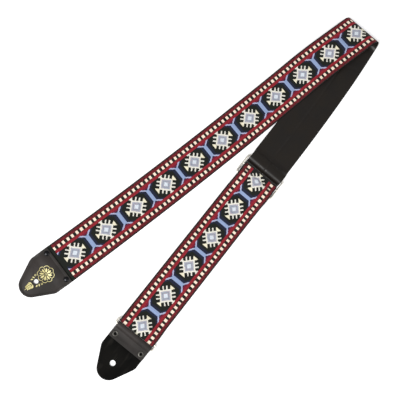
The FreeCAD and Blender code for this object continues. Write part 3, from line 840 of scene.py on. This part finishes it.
def arm_stations(fold_steps=24, slope_steps=14, arm_steps=12):
    """Edge pairs of the whole long band, with the fold's first and last index."""
    run = FOLD_OUTER.x - SETTLE_START - LOWER_RUN_X
    first = [lower_station(LOWER_RUN_X + run * i / 6) for i in range(7)]
    settle = [mixed(first[-1], fold_station(0), smooth(i / 4)) for i in range(1, 4)]
    fold = [fold_station(180 * i / fold_steps) for i in range(fold_steps + 1)]
    upper = [upper_station(SLOPE_LENGTH * i / slope_steps) for i in range(1, slope_steps + 1)]
    upper[:2] = [mixed(FOLD_TOP, upper[i], smooth((i + 1) / 3)) for i in range(2)]
    left = ARM_LENGTH - SLOPE_LENGTH
    steps = range(1, arm_steps + 1)
    upper += [upper_station(SLOPE_LENGTH + left * i / arm_steps) for i in steps]
    start = len(first) + len(settle)
    return first + settle + fold + upper, start, start + fold_steps


def through(p0, p1, p2, p3, t):
    """A point on the smooth curve between p1 and p2."""
    return (p1 * 2 + (p2 - p0) * t + (p0 * 2 - p1 * 5 + p2 * 4 - p3) * t ** 2
            + (p1 * 3 - p0 - p2 * 3 + p3) * t ** 3) / 2


def refined(pairs, first, last, begin=0.0, step=STEP):
    """Fine stations from pair first to pair last; along counts from begin."""
    dense = []
    for i in range(first, last):
        around = [pairs[min(max(k, 0), len(pairs) - 1)] for k in (i - 1, i, i + 1, i + 2)]
        length = (around[2][0] + around[2][1] - around[1][0] - around[1][1]).length / 2
        count = max(2, round(length / step))
        for j in range(count + (i == last - 1)):
            outer = through(*(p[0] for p in around), j / count)
            inner = through(*(p[1] for p in around), j / count)
            dense.append((outer, inner, around[1][2].lerp(around[2][2], j / count)))
    made, along = [], begin
    for i, (outer, inner, inward) in enumerate(dense):
        middle = (outer + inner) / 2
        before, after = dense[max(i - 1, 0)], dense[min(i + 1, len(dense) - 1)]
        forward = after[0] + after[1] - before[0] - before[1]
        normal = forward.cross(inner - outer).normalized()
        if normal.dot(inward) > 0:
            normal = -normal
        if i:
            along += (middle - made[-1][0]).length
        made.append((middle, (inner - outer).normalized(), normal, along))
    return made


arm_pairs, fold_first, fold_last = arm_stations()
print("long band", len(arm_pairs), "edge pairs, upper arm", round(ARM_LENGTH, 1), "mm")

# %% [markdown]
# ## From a course to cloth
#
# A layer of the band is a flat grid of quads whose columns run once round the layer's
# section: closely across the side that shows, sparsely underneath. Every vertex of the
# grid is moved to its station, the seam is merged and the two ends are closed. The
# distance along and across go with each vertex as a map in millimetres, so the woven
# pattern bends with the cloth.

# %% Sections and relief
COLUMN = 1.15                 # width of a column on the side that shows
STITCH_PITCH = 3.1
ROWS_START, ROWS_END, ROWS_LIFT = 15.6, 20.0, 0.05
SEAM_START, SEAM_DRAWN, SEAM_RIPPLE = 22.6, 0.12, 0.035


def section(half, near, far, rounding):
    """Points (across, depth) once round a layer, with fine columns at depth near."""
    count = round(2 * half / COLUMN)
    flat = half - rounding
    sign = 1 if far > near else -1
    turns = [radians(angle) for angle in (30, 60, 90)]
    corner = [(rounding * sin(turn), sign * rounding * (1 - cos(turn))) for turn in turns]
    points = [(-flat + 2 * flat * i / count, near, True) for i in range(count + 1)]
    points += [(flat + x, near + y, False) for x, y in corner]
    points += [(half, far - sign * rounding, False)]
    points += [(flat * k, far, False) for k in (1, 0.5, 0, -0.5, -1)]
    points += [(-half, far - sign * rounding, False)]
    points += [(-flat - x, near + y, False) for x, y in reversed(corner)]
    return points


def ribbon_relief(along, across, spot):
    """The border rows stand up a little and the sewn edge is drawn down."""
    out = abs(across)
    raised = ROWS_LIFT * (smooth((out - ROWS_START) / 1.2) - smooth((out - ROWS_END) / 1.2))
    drawn = SEAM_DRAWN * smooth((out - SEAM_START) / 1.6)
    ripple = SEAM_RIPPLE * sin(2 * pi * along / STITCH_PITCH) * smooth((out - ROWS_END - 0.5) / 3)
    wander = 0.05 * sin(along / 17.0 + 0.4) * sin(across / 11.0 + along / 43.0)
    return raised - drawn + ripple + wander


print("stitch pitch", STITCH_PITCH)

# %% Relief of the back
MIDDLE_LINE_DEPTH, MIDDLE_LINE_WIDTH = 0.32, 0.8
CREASE_LEVEL = 5              # only the lower arm's back is creased
CREASES = [                   # plan ends of each crease, its depth and its width
    ((438.3, 2.7), (445.9, -15.9), 0.22, 1.3),
    ((361.4, 23.8), (351.6, -7.2), 0.2, 1.3),
    ((378.6, 16.5), (377.6, 5.5), 0.16, 1.2),
    ((404.5, 1.7), (397.7, -17.0), 0.16, 1.2),
]


def backing_relief(along, across, spot):
    """A lengthwise pressed line down the middle of the back, and handling creases."""
    line = -MIDDLE_LINE_DEPTH * exp(-(across / MIDDLE_LINE_WIDTH) ** 2)
    wander = 0.08 * sin(along / 23.0) * sin(across / 9.0 + along / 61.0)
    for start, end, depth, width in CREASES if spot.z < CREASE_LEVEL else []:
        span = Vector(end) - Vector(start)
        reach = spot.xy - Vector(start)
        share = min(max(reach.dot(span) / span.length_squared, 0), 1)
        line -= depth * exp(-((reach - span * share).length / width) ** 2)
    return line + wander


RIBBON_ROUNDING, BACKING_ROUNDING = 0.15, 0.3
RIBBON_SECTION = section(RIBBON_W / 2, 0.0, RIBBON_T, RIBBON_ROUNDING)
BACKING_SECTION = section(BAND_W / 2, BAND_T, RIBBON_T, BACKING_ROUNDING)
print("ribbon columns", len(RIBBON_SECTION), "backing columns", len(BACKING_SECTION))

# %% Lay a layer along stations
MERGE_DISTANCE = 0.001
RELIEF_FADE = 6               # the relief dies away towards a length's ends


def laid_layer(stations, points, relief):
    """A closed layer of the band, mapped in millimetres."""
    bm = bmesh.new()
    columns, rows = len(points), len(stations)
    bmesh.ops.create_grid(bm, x_segments=columns, y_segments=rows - 1, size=0.5)
    along_layer = bm.verts.layers.float.new("along")
    across_layer = bm.verts.layers.float.new("across")
    total = stations[-1][3] - stations[0][3]
    for vert in bm.verts:
        column = round((vert.co.x + 0.5) * columns) % columns
        row = round((vert.co.y + 0.5) * (rows - 1))
        middle, across, normal, along = stations[row]
        v, depth, shows = points[column]
        walked = along - stations[0][3]
        fade = smooth(min(walked, total - walked) / RELIEF_FADE)
        proud = relief(along, v, middle + across * v) * fade if shows else 0.0
        outward = normal if points is RIBBON_SECTION else -normal
        vert[along_layer], vert[across_layer] = along, v
        vert.co = middle + across * v - normal * depth + outward * proud
    bmesh.ops.remove_doubles(bm, verts=bm.verts[:], dist=MERGE_DISTANCE)
    open_edges = [edge for edge in bm.edges if edge.is_boundary]
    bmesh.ops.holes_fill(bm, edges=open_edges, sides=0)
    band_map = bm.loops.layers.uv.new("band")
    for face in bm.faces:
        for loop in face.loops:
            loop[band_map].uv = (loop.vert[along_layer], loop.vert[across_layer])
    return bm


def cut_rims(bm, flat):
    """Material 1, the rims' painted shade, for the two cut rims of a layer, past its flat part."""
    across_layer = bm.verts.layers.float["across"]
    for face in bm.faces:
        nearest = min(abs(vert[across_layer]) for vert in face.verts)
        face.material_index = int(nearest > flat - 0.01)


print("a layer has", len(BACKING_SECTION), "columns on", len(arm_pairs), "edge pairs")

# %% Sew the edges
STITCH_ROW = 24.05            # from the middle of the ribbon
STITCH_HALF = (1.2, 0.3, 0.2)
STITCH_SUNK = 0.13            # centre below the ribbon's level
STITCH_MARGIN = 1.0


def stitches(stations):
    """Two rows of small thread capsules sunk into the ribbon's edges."""
    bm = bmesh.new()
    size = Matrix.Diagonal((*STITCH_HALF, 1))
    index = 0
    begin, end = stations[0][3], stations[-1][3]
    count = int((end - begin - STITCH_MARGIN) // STITCH_PITCH)
    for i in range(count):
        along = begin + STITCH_MARGIN + (i + 0.5) * STITCH_PITCH
        while stations[index + 1][3] < along and index < len(stations) - 2:
            index += 1
        first, second = stations[index], stations[index + 1]
        share = (along - first[3]) / (second[3] - first[3])
        middle = first[0].lerp(second[0], share)
        across = first[1].lerp(second[1], share).normalized()
        normal = first[2].lerp(second[2], share).normalized()
        forward = across.cross(normal)
        turned = Matrix((forward, across, normal)).transposed().to_4x4()
        for side in (-1, 1):
            centre = middle + across * (side * STITCH_ROW) - normal * STITCH_SUNK
            stitch_place = Matrix.Translation(centre) @ turned @ size
            bmesh.ops.create_uvsphere(
                bm, u_segments=7, v_segments=4, radius=1, matrix=stitch_place
            )
    return bm


print("two rows of stitches,", 2 * STITCH_ROW, "mm apart")

# %% [markdown]
# ## The nine lengths of band
#
# The band is one piece in reality. Here it is divided where the CAD's bodies meet, so
# that the slider can travel and the upper arm can be unfolded. The long band's pattern
# is counted from the upper tab, the visible lower layer's from the ring.

# %% Stations for every length
arm = refined(arm_pairs, fold_last, len(arm_pairs) - 1)
arm_end = arm[-1][3]
FIRST_MOTIF = STRAP_UNDER_TAB + 22.8     # first motif's centre from the band's end
WOVEN_PITCH = 46.35                      # the upper arm's pattern is a trace longer


def counted(stations, zero, stretch=1.0):
    """The same stations with the walk counted from zero."""
    return [(m, a, n, (along - zero) * stretch) for m, a, n, along in stations]


def pattern_from_tab(stations):
    return counted(stations, arm_end - FIRST_MOTIF, MOTIF_PITCH / WOVEN_PITCH)


fold = refined(arm_pairs, fold_first, fold_last, step=1.0)
fold = counted(fold, fold[-1][3])
lower = refined(arm_pairs, 0, fold_first)
lower = counted(lower, lower[-1][3] - fold[0][3])
free_reach = LOWER_RUN_X - PASSAGE_HIGH_X
free_pairs = [lower_station(PASSAGE_HIGH_X + free_reach * i / 6) for i in range(7)]
free = refined(free_pairs, 0, 6)
free = counted(free, free[-1][3] - lower[0][3])
return_run = return_course().stations(TURN_END_X - LOWER_MOTIF_X)
ring_turn = ring_turn_course().stations()
ring_turn = counted(ring_turn, ring_turn[-1][3] - return_run[0][3])
tail = tail_course().stations(return_run[-1][3])
passage = passage_course().stations()
under_run = under_run_course().stations()
LENGTHS = {
    "upper_arm": (pattern_from_tab(arm), woven_ribbon, True),
    "fold": (pattern_from_tab(fold), woven_ribbon, True),
    "lower_run": (pattern_from_tab(lower), woven_ribbon, False),
    "free_run": (pattern_from_tab(free), woven_ribbon_straight, False),
    "passage": (passage, woven_ribbon, False),
    "tail": (tail, woven_ribbon, True),
    "under_run": (under_run, woven_ribbon_straight, False),
    "return_run": (return_run, woven_ribbon_straight, True),
    "ring_turn": (ring_turn, woven_ribbon, True),
}
for name, (stations, _, _) in LENGTHS.items():
    print(name, round(stations[-1][3] - stations[0][3], 1), "mm,", len(stations), "stations")

# %% Make the layers and their stitches
BANDS = {}
for name, (stations, ribbon_material, sewn) in LENGTHS.items():
    ribbon_mesh = laid_layer(stations, RIBBON_SECTION, ribbon_relief)
    ribbon = finished(ribbon_mesh, name + "_woven_ribbon", [ribbon_material])
    backing_mesh = laid_layer(stations, BACKING_SECTION, backing_relief)
    cut_rims(backing_mesh, BAND_W / 2 - BACKING_ROUNDING)
    backing = finished(backing_mesh, name + "_vinyl_backing", [vinyl, rim_shaded_vinyl])
    made = [ribbon, backing]
    if sewn:
        made.append(finished(stitches(stations), name + "_edge_stitches", [black_thread]))
    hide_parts(name + "_ribbon")
    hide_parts(name + "_backing")
    BANDS[name] = made

# %% [markdown]
# ## How the band follows the joints
#
# Lengths that stay with a body ride on it. The fold, the free length past the slider
# and the two layers between slider and ring join two bodies, so they bend or slide
# smoothly from one to the other.

# %% Ride and blend
RIDES = {
    "upper_arm": "upper_arm", "lower_run": "lower_strap", "passage": "slider",
    "tail": "slider", "ring_turn": "ring_turn",
}
fold_spot = (FOLD_OUTER + FOLD_INNER) / 2
fold_high = FOLD_TOP[0].z
BLENDS = {
    "fold": ("lower_strap", "upper_arm", (*fold_spot.xy, 1.0), (*fold_spot.xy, fold_high - 1)),
    "free_run": ("lower_strap", "slider", (LOWER_RUN_X, 0, 0), (PASSAGE_HIGH_X, 0, 0)),
    "under_run": ("slider", "ring_turn", (PASSAGE_LOW_X, 0, 0), (TURN_END_X, 0, 0)),
    "return_run": ("slider", "ring_turn", (PASSAGE_LOW_X, 0, 0), (TURN_END_X, 0, 0)),
}
for name, made in BANDS.items():
    for piece in made:
        if name in RIDES:
            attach(piece, RIDES[name])
        else:
            first, second, start, end = BLENDS[name]
            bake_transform(piece, first, second, start=place(*start), end=place(*end))
    stations = LENGTHS[name][0]

# %% [markdown]
# ## Leather tabs
#
# Each tab is cut flat from thick leather, then bent: the upper one steps down off the
# band's end, the lower one makes a turn round the ring and comes back as a flap. So
# each is built flat first, as the hull of a few round discs and a square end, cut with
# a button hole and slit, bevelled, and only then bent along its own course.

# %% Cut a tab flat
TAB_HALF_W = 25.1
NOSE_R, SHOULDER_R = 14.5, 12.0
TAPER = radians(27.5)
HOLE_FROM_NOSE = 21.2


def disc(bm, radius, height, x, y, segments):
    bmesh.ops.create_cone(
        bm, cap_ends=True, segments=segments, radius1=radius, radius2=radius, depth=height,
        matrix=Matrix.Translation((x, y, 0)),
    )


def block(bm, x, length, width, height):
    size = Matrix.Diagonal((length, width, height, 1))
    bmesh.ops.create_cube(bm, size=1, matrix=Matrix.Translation((x, 0, 0)) @ size)


def only_verts(geometry):
    return [item for item in geometry if isinstance(item, bmesh.types.BMVert)]


def flat_tab(length, tail_length):
    """The outline's hull: square at -tail_length, round at length, taper between."""
    bm = bmesh.new()
    centre_x = length - NOSE_R
    touch_x = centre_x + NOSE_R * sin(TAPER)
    shoulder_x = touch_x - (TAB_HALF_W - NOSE_R * cos(TAPER)) / tan(TAPER)
    disc(bm, NOSE_R, LEATHER_T, centre_x, 0, segments=96)
    disc_x = shoulder_x - SHOULDER_R * tan(TAPER / 2)
    for side in (-1, 1):
        disc_y = side * (TAB_HALF_W - SHOULDER_R)
        disc(bm, SHOULDER_R, LEATHER_T, disc_x, disc_y, segments=96)
    block(bm, 0.5 - tail_length, 1, 2 * TAB_HALF_W, LEATHER_T)
    hull = bmesh.ops.convex_hull(bm, input=bm.verts[:])
    inside = only_verts(hull["geom_interior"] + hull["geom_unused"])
    bmesh.ops.delete(bm, geom=list(set(inside)), context="VERTS")
    bmesh.ops.recalc_face_normals(bm, faces=bm.faces[:])
    bmesh.ops.dissolve_limit(bm, angle_limit=radians(0.5), verts=bm.verts[:], edges=bm.edges[:])
    return bm


def grooved(bm, inset, width, depth):
    """Press a line into the top, that far inside the outline."""
    top = [face for face in bm.faces if face.normal.z > 0.9]
    for thickness, sink in ((inset, 0), (width, -depth), (width, depth)):
        bmesh.ops.inset_region(
            bm, faces=top, thickness=thickness, depth=sink, use_even_offset=True
        )


print("tab width", 2 * TAB_HALF_W, "nose radius", NOSE_R)

# %% Punch the holes and the slit
SLIT_L, SLIT_W = 4.5, 0.2     # the cut springs nearly shut
CUT_HEIGHT = 4 * LEATHER_T
WELD_DISTANCE = 0.0005


def on_the_bench(bm, name):
    """An object for the cutting only, made from a bmesh."""
    mesh = bpy.data.meshes.new(name)
    bm.to_mesh(mesh)
    bm.free()
    item = bpy.data.objects.new(name, mesh)
    bpy.context.scene.collection.objects.link(item)
    return item


def hole_cutter(x, y, radius):
    bm = bmesh.new()
    disc(bm, radius, CUT_HEIGHT, x, y, segments=48)
    return on_the_bench(bm, "cutter")


def slit_cutter(low_x, high_x):
    bm = bmesh.new()
    block(bm, (low_x + high_x) / 2, high_x - low_x, SLIT_W, CUT_HEIGHT)
    return on_the_bench(bm, "cutter")


def punched(bm, spots, slit):
    """Cut round holes, given as (x, y, radius), and the slit from one of them."""
    flat = on_the_bench(bm, "flat")
    cutters = [hole_cutter(*spot) for spot in spots] + [slit_cutter(*slit)]
    for cutter in cutters:
        cut = flat.modifiers.new("punch", "BOOLEAN")
        cut.operation = "DIFFERENCE"
        cut.solver = "EXACT"
        cut.object = cutter
    bpy.context.view_layer.update()
    result = bmesh.new()
    result.from_object(flat, bpy.context.evaluated_depsgraph_get())
    for item in cutters + [flat]:
        bpy.data.objects.remove(item)
    bmesh.ops.remove_doubles(result, verts=result.verts[:], dist=WELD_DISTANCE)
    return result


print("slit", SLIT_L, "x", SLIT_W, "mm")

# %% Soften and bend the leather
SHARP_RIM = radians(50)


def softened(bm, offset):
    """Round the cut edges of the top and bottom."""
    rims = [
        edge for edge in bm.edges
        if len(edge.link_faces) == 2 and edge.calc_face_angle(0) > SHARP_RIM
        and abs(edge.verts[0].co.z - edge.verts[1].co.z) < 1e-4
    ]
    bmesh.ops.bevel(
        bm, geom=rims, offset=offset, offset_type="OFFSET", affect="EDGES", segments=3,
        profile=0.5, material=-1, clamp_overlap=True,
    )


def crosscut(bm, low, high, step):
    """Cut the leather across, closely enough to bend it there."""
    count = max(1, round((high - low) / step))
    for i in range(count + 1):
        spot = low + (high - low) * i / count
        geom = bm.verts[:] + bm.edges[:] + bm.faces[:]
        bmesh.ops.bisect_plane(
            bm, geom=geom, dist=1e-5, plane_co=(spot, 0, 0), plane_no=ALONG_X
        )


def side_materials(bm):
    """0 for the finished side, 1 for the flesh side, 2 for the painted edge."""
    for face in bm.faces:
        face.material_index = 0 if face.normal.z > 0.3 else 1 if face.normal.z < -0.3 else 2


def bent_along(bm, course, start):
    """Bend a flat piece, whose x counts along the course from start."""
    stations = course.stations(face=0.0)
    for vert in bm.verts:
        along = vert.co.x - start
        low = 0
        while low < len(stations) - 2 and stations[low + 1][3] < along:
            low += 1
        first, second = stations[low], stations[low + 1]
        share = (along - first[3]) / (second[3] - first[3])
        normal = first[2].lerp(second[2], min(max(share, 0), 1)).normalized()
        vert.co = first[0].lerp(second[0], share) + ACROSS_Y * vert.co.y + normal * vert.co.z


print("leather", LEATHER_T, "mm thick")

# %% Upper tab
UPPER_TAB_LENGTH, UPPER_HOLE_R = 54.7, 2.75
FLAP_LIFT = 0.05              # air between layers of leather or band
GROOVE_INSET, GROOVE_W, GROOVE_DEPTH = 2.6, 0.45, 0.32
UPPER_BEND_L = 12             # the step down off the band's end
upper_turn = Matrix.Rotation(radians(180 - TAB_HEADING), 4, "Z")
upper_tab_place = Matrix.Translation(far_point(FAR_LENGTH)) @ upper_turn


def upper_tab_course(step=0.8):
    drop = BAND_T + FLAP_LIFT
    line = Course(0, drop + LEATHER_T / 2, 0, step)
    line.straight_to_x(STRAP_UNDER_TAB + 1)
    line.shift(-drop, NOSE_R)
    line.straight_to_x(UPPER_TAB_LENGTH + 1)
    return line


bm = flat_tab(UPPER_TAB_LENGTH, 0)
grooved(bm, GROOVE_INSET, GROOVE_W, GROOVE_DEPTH)
upper_hole_x = UPPER_TAB_LENGTH - HOLE_FROM_NOSE
upper_slit = (upper_hole_x - UPPER_HOLE_R - SLIT_L, upper_hole_x)
bm = punched(bm, [(upper_hole_x, 0, UPPER_HOLE_R)], upper_slit)
softened(bm, offset=0.5)
side_materials(bm)
crosscut(bm, STRAP_UNDER_TAB, STRAP_UNDER_TAB + UPPER_BEND_L, step=1.0)
bent_along(bm, upper_tab_course(), 0)
bmesh.ops.transform(bm, matrix=upper_tab_place, verts=bm.verts[:])
upper_tab = finished(bm, "upper_leather_tab", TAB_MATERIALS, sharp=50, closed=False)
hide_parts("upper_tab")
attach(upper_tab, "upper_arm")

# %% Lower tab
LOWER_TAB_NOSE_X, LOWER_HOLE_R = -67.8, 3.5
FLAP_END_X, FLAP_BEND_R = -24.3, 3.6
TAB_RING_GAP = 0.1
FLAP_FLAT_L = 12              # of the flap's length, this much isn't bent
BLADE_START_X = -RING_PITCH - 4
EYELET_X, EYELET_Y, EYELET_BARREL_R = -18.4, 19.4, 2.2


def lower_tab_course():
    """From the flap's end, over the ring's tab bar and out to the nose."""
    turn_r = RING_WIRE / 2 + TAB_RING_GAP + LEATHER_T / 2
    flap_z = LEATHER_T + FLAP_LIFT + LEATHER_T / 2
    rise = RING_Z + turn_r - flap_z
    line = Course(FLAP_END_X, flap_z, 0, step=0.8)
    line.straight_to_x(-RING_PITCH - bend_run(rise, FLAP_BEND_R))
    line.shift(rise, FLAP_BEND_R)
    line.turn(turn_r, -180)
    line.straight_to_x(BLADE_START_X)
    return line


course = lower_tab_course()
wrapped = course.stations(face=0.0)[-1][3]
course.straight_to_x(LOWER_TAB_NOSE_X)
blade_length = BLADE_START_X - LOWER_TAB_NOSE_X
hole_x = blade_length - HOLE_FROM_NOSE
flap_eyelet = EYELET_X - FLAP_END_X - wrapped
blade_eyelet = BLADE_START_X - EYELET_X
bm = flat_tab(blade_length, wrapped)
spots = [(hole_x, 0, LOWER_HOLE_R)]
for side in (-EYELET_Y, EYELET_Y):
    spots += [(flap_eyelet, side, EYELET_BARREL_R), (blade_eyelet, side, EYELET_BARREL_R)]
bm = punched(bm, spots, (hole_x - LOWER_HOLE_R - SLIT_L, hole_x))
softened(bm, offset=0.4)
side_materials(bm)
crosscut(bm, FLAP_FLAT_L - wrapped, 0, step=0.7)
bent_along(bm, course, -wrapped)
lower_tab = finished(bm, "lower_leather_tab", TAB_MATERIALS, sharp=50, closed=False)
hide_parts("lower_tab")
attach(lower_tab, "lower_tab")
print("leather round the ring", round(wrapped, 1), "mm, blade", round(blade_length, 1), "mm")

# %% [markdown]
# ## Rivets and eyelets
#
# Small turned parts come from a half profile that is spun once round its axis: a domed
# cap with a pressed rim for the upper rivets, a rolled flange with a deep bore for the
# lower eyelets.

# %% Spin a turned part
TURNED_SIDES = 32


def turned_part(bm, profile, spot):
    """Spin a profile of (radius, height) pairs about the vertical through spot."""
    ring = [bm.verts.new((spot.x + r, spot.y, spot.z + z)) for r, z in profile]
    edges = [bm.edges.new(pair) for pair in zip(ring[:-1], ring[1:])]
    bmesh.ops.spin(
        bm, geom=ring + edges, cent=spot, axis=UP, angle=2 * pi, steps=TURNED_SIDES,
        use_merge=True,
    )


print("a turned part has", TURNED_SIDES, "sides")

# %% Domed rivet caps
RIVET_U, RIVET_V, RIVET_CAP_R, RIVET_CAP_H = 4.2, 19.0, 3.3, 1.5
leather_top = BAND_T + FLAP_LIFT + LEATHER_T
CAP_PROFILE = [
    (0.0, 0.0), (2.9, 0.0), (3.2, 0.05), (RIVET_CAP_R, 0.2), (3.25, 0.38), (3.05, 0.5),
    (2.9, 0.55), (2.5, 0.92), (1.9, 1.22), (1.2, 1.41), (0.6, 1.48), (0.0, RIVET_CAP_H),
]
bm = bmesh.new()
for side in (-1, 1):
    turned_part(bm, CAP_PROFILE, Vector((RIVET_U, side * RIVET_V, leather_top)))
bmesh.ops.remove_doubles(bm, verts=bm.verts[:], dist=MERGE_DISTANCE)
bmesh.ops.transform(bm, matrix=upper_tab_place, verts=bm.verts[:])
caps = finished(bm, "domed_rivet_caps", [black_steel], sharp=60)
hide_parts("upper_rivet_caps")
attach(caps, "upper_arm")

# %% Rolled eyelets
EYELET_BORE_R, EYELET_FLANGE_R, EYELET_FLANGE_T = 1.6, 3.7, 0.7
EYELET_FLOOR = 0.4            # closes the bore at the table
flap_top = 2 * LEATHER_T + FLAP_LIFT
FLANGE_PROFILE = [            # (radius, height above the flap)
    (EYELET_BORE_R, 0.2), (1.85, 0.55), (2.4, EYELET_FLANGE_T), (3.0, 0.66), (3.5, 0.45),
    (EYELET_FLANGE_R, 0.2), (3.6, 0.0), (EYELET_BARREL_R, 0.0),
]
EYELET_PROFILE = [(0.0, 0.0), (0.0, EYELET_FLOOR), (EYELET_BORE_R, EYELET_FLOOR)]
EYELET_PROFILE += [(r, flap_top + height) for r, height in FLANGE_PROFILE]
EYELET_PROFILE += [(EYELET_BARREL_R, 0.0), (0.0, 0.0)]
bm = bmesh.new()
for side in (-1, 1):
    turned_part(bm, EYELET_PROFILE, Vector((EYELET_X, side * EYELET_Y, 0)))
bmesh.ops.remove_doubles(bm, verts=bm.verts[:], dist=MERGE_DISTANCE)
# The bore's wall and the floor that closes it get the painted shade, darkening the inside of the hole.
for face in bm.faces:
    centre = face.calc_center_median()
    from_axis = Vector((centre.x - EYELET_X, abs(centre.y) - EYELET_Y)).length
    face.material_index = 1 if from_axis < EYELET_BORE_R + 0.02 else 0
eyelets = finished(bm, "rolled_eyelets", [antique_steel, bore_shadow], sharp=50)
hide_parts("lower_eyelets")
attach(eyelets, "lower_tab")

# %% Metal for the CAD parts that stay
KEPT = {
    "slider_frame": nickel, "slider_centre_bar": nickel, "ring": nickel,
    "upper_rivet_shanks": black_steel, "lower_eyelet_washers": black_steel,
}
for name, material in KEPT.items():
    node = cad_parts[name]
    for slot in node.material_slots:
        slot.material = material
    print(name, "gets", material.name)

# %% [markdown]
# ## Gold ornament
#
# The upper tab carries a pressed foil decoration. A plain rosette with leaf sprays,
# drawn from one leaf shape, gives the same sparkle without being anyone's badge. Every
# leaf is a small grid pinched to two points, raised a few hundredths of a millimetre
# and laid over the tab's step like the leather itself.

# %% A leaf and a ring of foil
FOIL_T = 0.08


def leaf(bm, x, y, angle, length, width, curl=0.0):
    """One leaf from (x, y), pointing along angle in degrees."""
    made = bmesh.ops.create_grid(bm, x_segments=8, y_segments=2, size=0.5)["verts"]
    turn = Matrix.Rotation(radians(angle), 4, "Z")
    for vert in made:
        t, side = vert.co.x + 0.5, vert.co.y * 2
        bow = curl * sin(pi * t)
        along = Vector((t * length, side * width / 2 * sin(pi * t) ** 0.8 + bow, 0))
        vert.co = turn @ along + Vector((x, y, 0))


def lobed_ring(bm, x, y, radius, width, lobes, swell):
    """A thin closed band whose radius swells lobes times round."""
    count = max(24, 12 * lobes)
    made = bmesh.ops.create_grid(bm, x_segments=count, y_segments=1, size=0.5)["verts"]
    for vert in made:
        angle = 2 * pi * vert.co.x
        reach = radius + swell * abs(cos(lobes / 2 * angle)) + vert.co.y * width
        vert.co = Vector((x + reach * cos(angle), y + reach * sin(angle), 0))


print("foil", FOIL_T, "mm thick")

# %% Rosette
ROSETTE_U, PETALS, LEAF_CURL = 19.6, 8, 0.3
PETAL_TURN = 360 / PETALS

bm = bmesh.new()
lobed_ring(bm, ROSETTE_U, 0, radius=8.5, width=0.6, lobes=PETALS, swell=1.5)
lobed_ring(bm, ROSETTE_U, 0, radius=1.0, width=0.5, lobes=0, swell=0.0)
for i in range(PETALS):
    angle = PETAL_TURN * i
    outward = heading(angle) * 1.8
    leaf(bm, ROSETTE_U + outward.x, outward.y, angle, length=5.8, width=2.2)
    angle += PETAL_TURN / 2
    between = heading(angle) * 4.9
    leaf(bm, ROSETTE_U + between.x, between.y, angle, length=2.9, width=0.9)
print("rosette of", PETALS, "petals")

# %% Leaf sprays
SPRAY_U, SPRAY_STEP = 39.0, 2.3

for side in (-1, 1):
    curl = side * LEAF_CURL
    for shift, turn in ((-1, 62), (1, 20)):
        leaf(bm, upper_hole_x + shift, side * 3.9, side * turn, 3.4, 1.5, curl)
    lobed_ring(bm, upper_hole_x - 3.6, side * 6.4, radius=0.9, width=0.5, lobes=0, swell=0.0)
    for i in range(4):
        leaf(bm, SPRAY_U + SPRAY_STEP * i, side * 0.5, side * 52, 4.6 - 0.7 * i, 1.8, curl)
leaf(bm, SPRAY_U - 0.5, 0, 0, length=12.0, width=1.1)
print("ornament", len(bm.faces), "faces before it gets its thickness")

# %% Press the foil on
FOIL_MERGE = 0.02             # closes the rings and the leaves' points
FOIL_SUNK = 0.02              # pressed into the grain

bmesh.ops.remove_doubles(bm, verts=bm.verts[:], dist=FOIL_MERGE)
lifted = bmesh.ops.extrude_face_region(bm, geom=bm.faces[:])["geom"]
bmesh.ops.translate(bm, vec=UP * FOIL_T, verts=only_verts(lifted))
bmesh.ops.translate(bm, vec=UP * (LEATHER_T / 2 - FOIL_SUNK), verts=bm.verts[:])
bent_along(bm, upper_tab_course(), 0)
bmesh.ops.transform(bm, matrix=upper_tab_place, verts=bm.verts[:])
ornament = finished(bm, "gold_foil_rosette", [gold_foil])
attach(ornament, "upper_arm")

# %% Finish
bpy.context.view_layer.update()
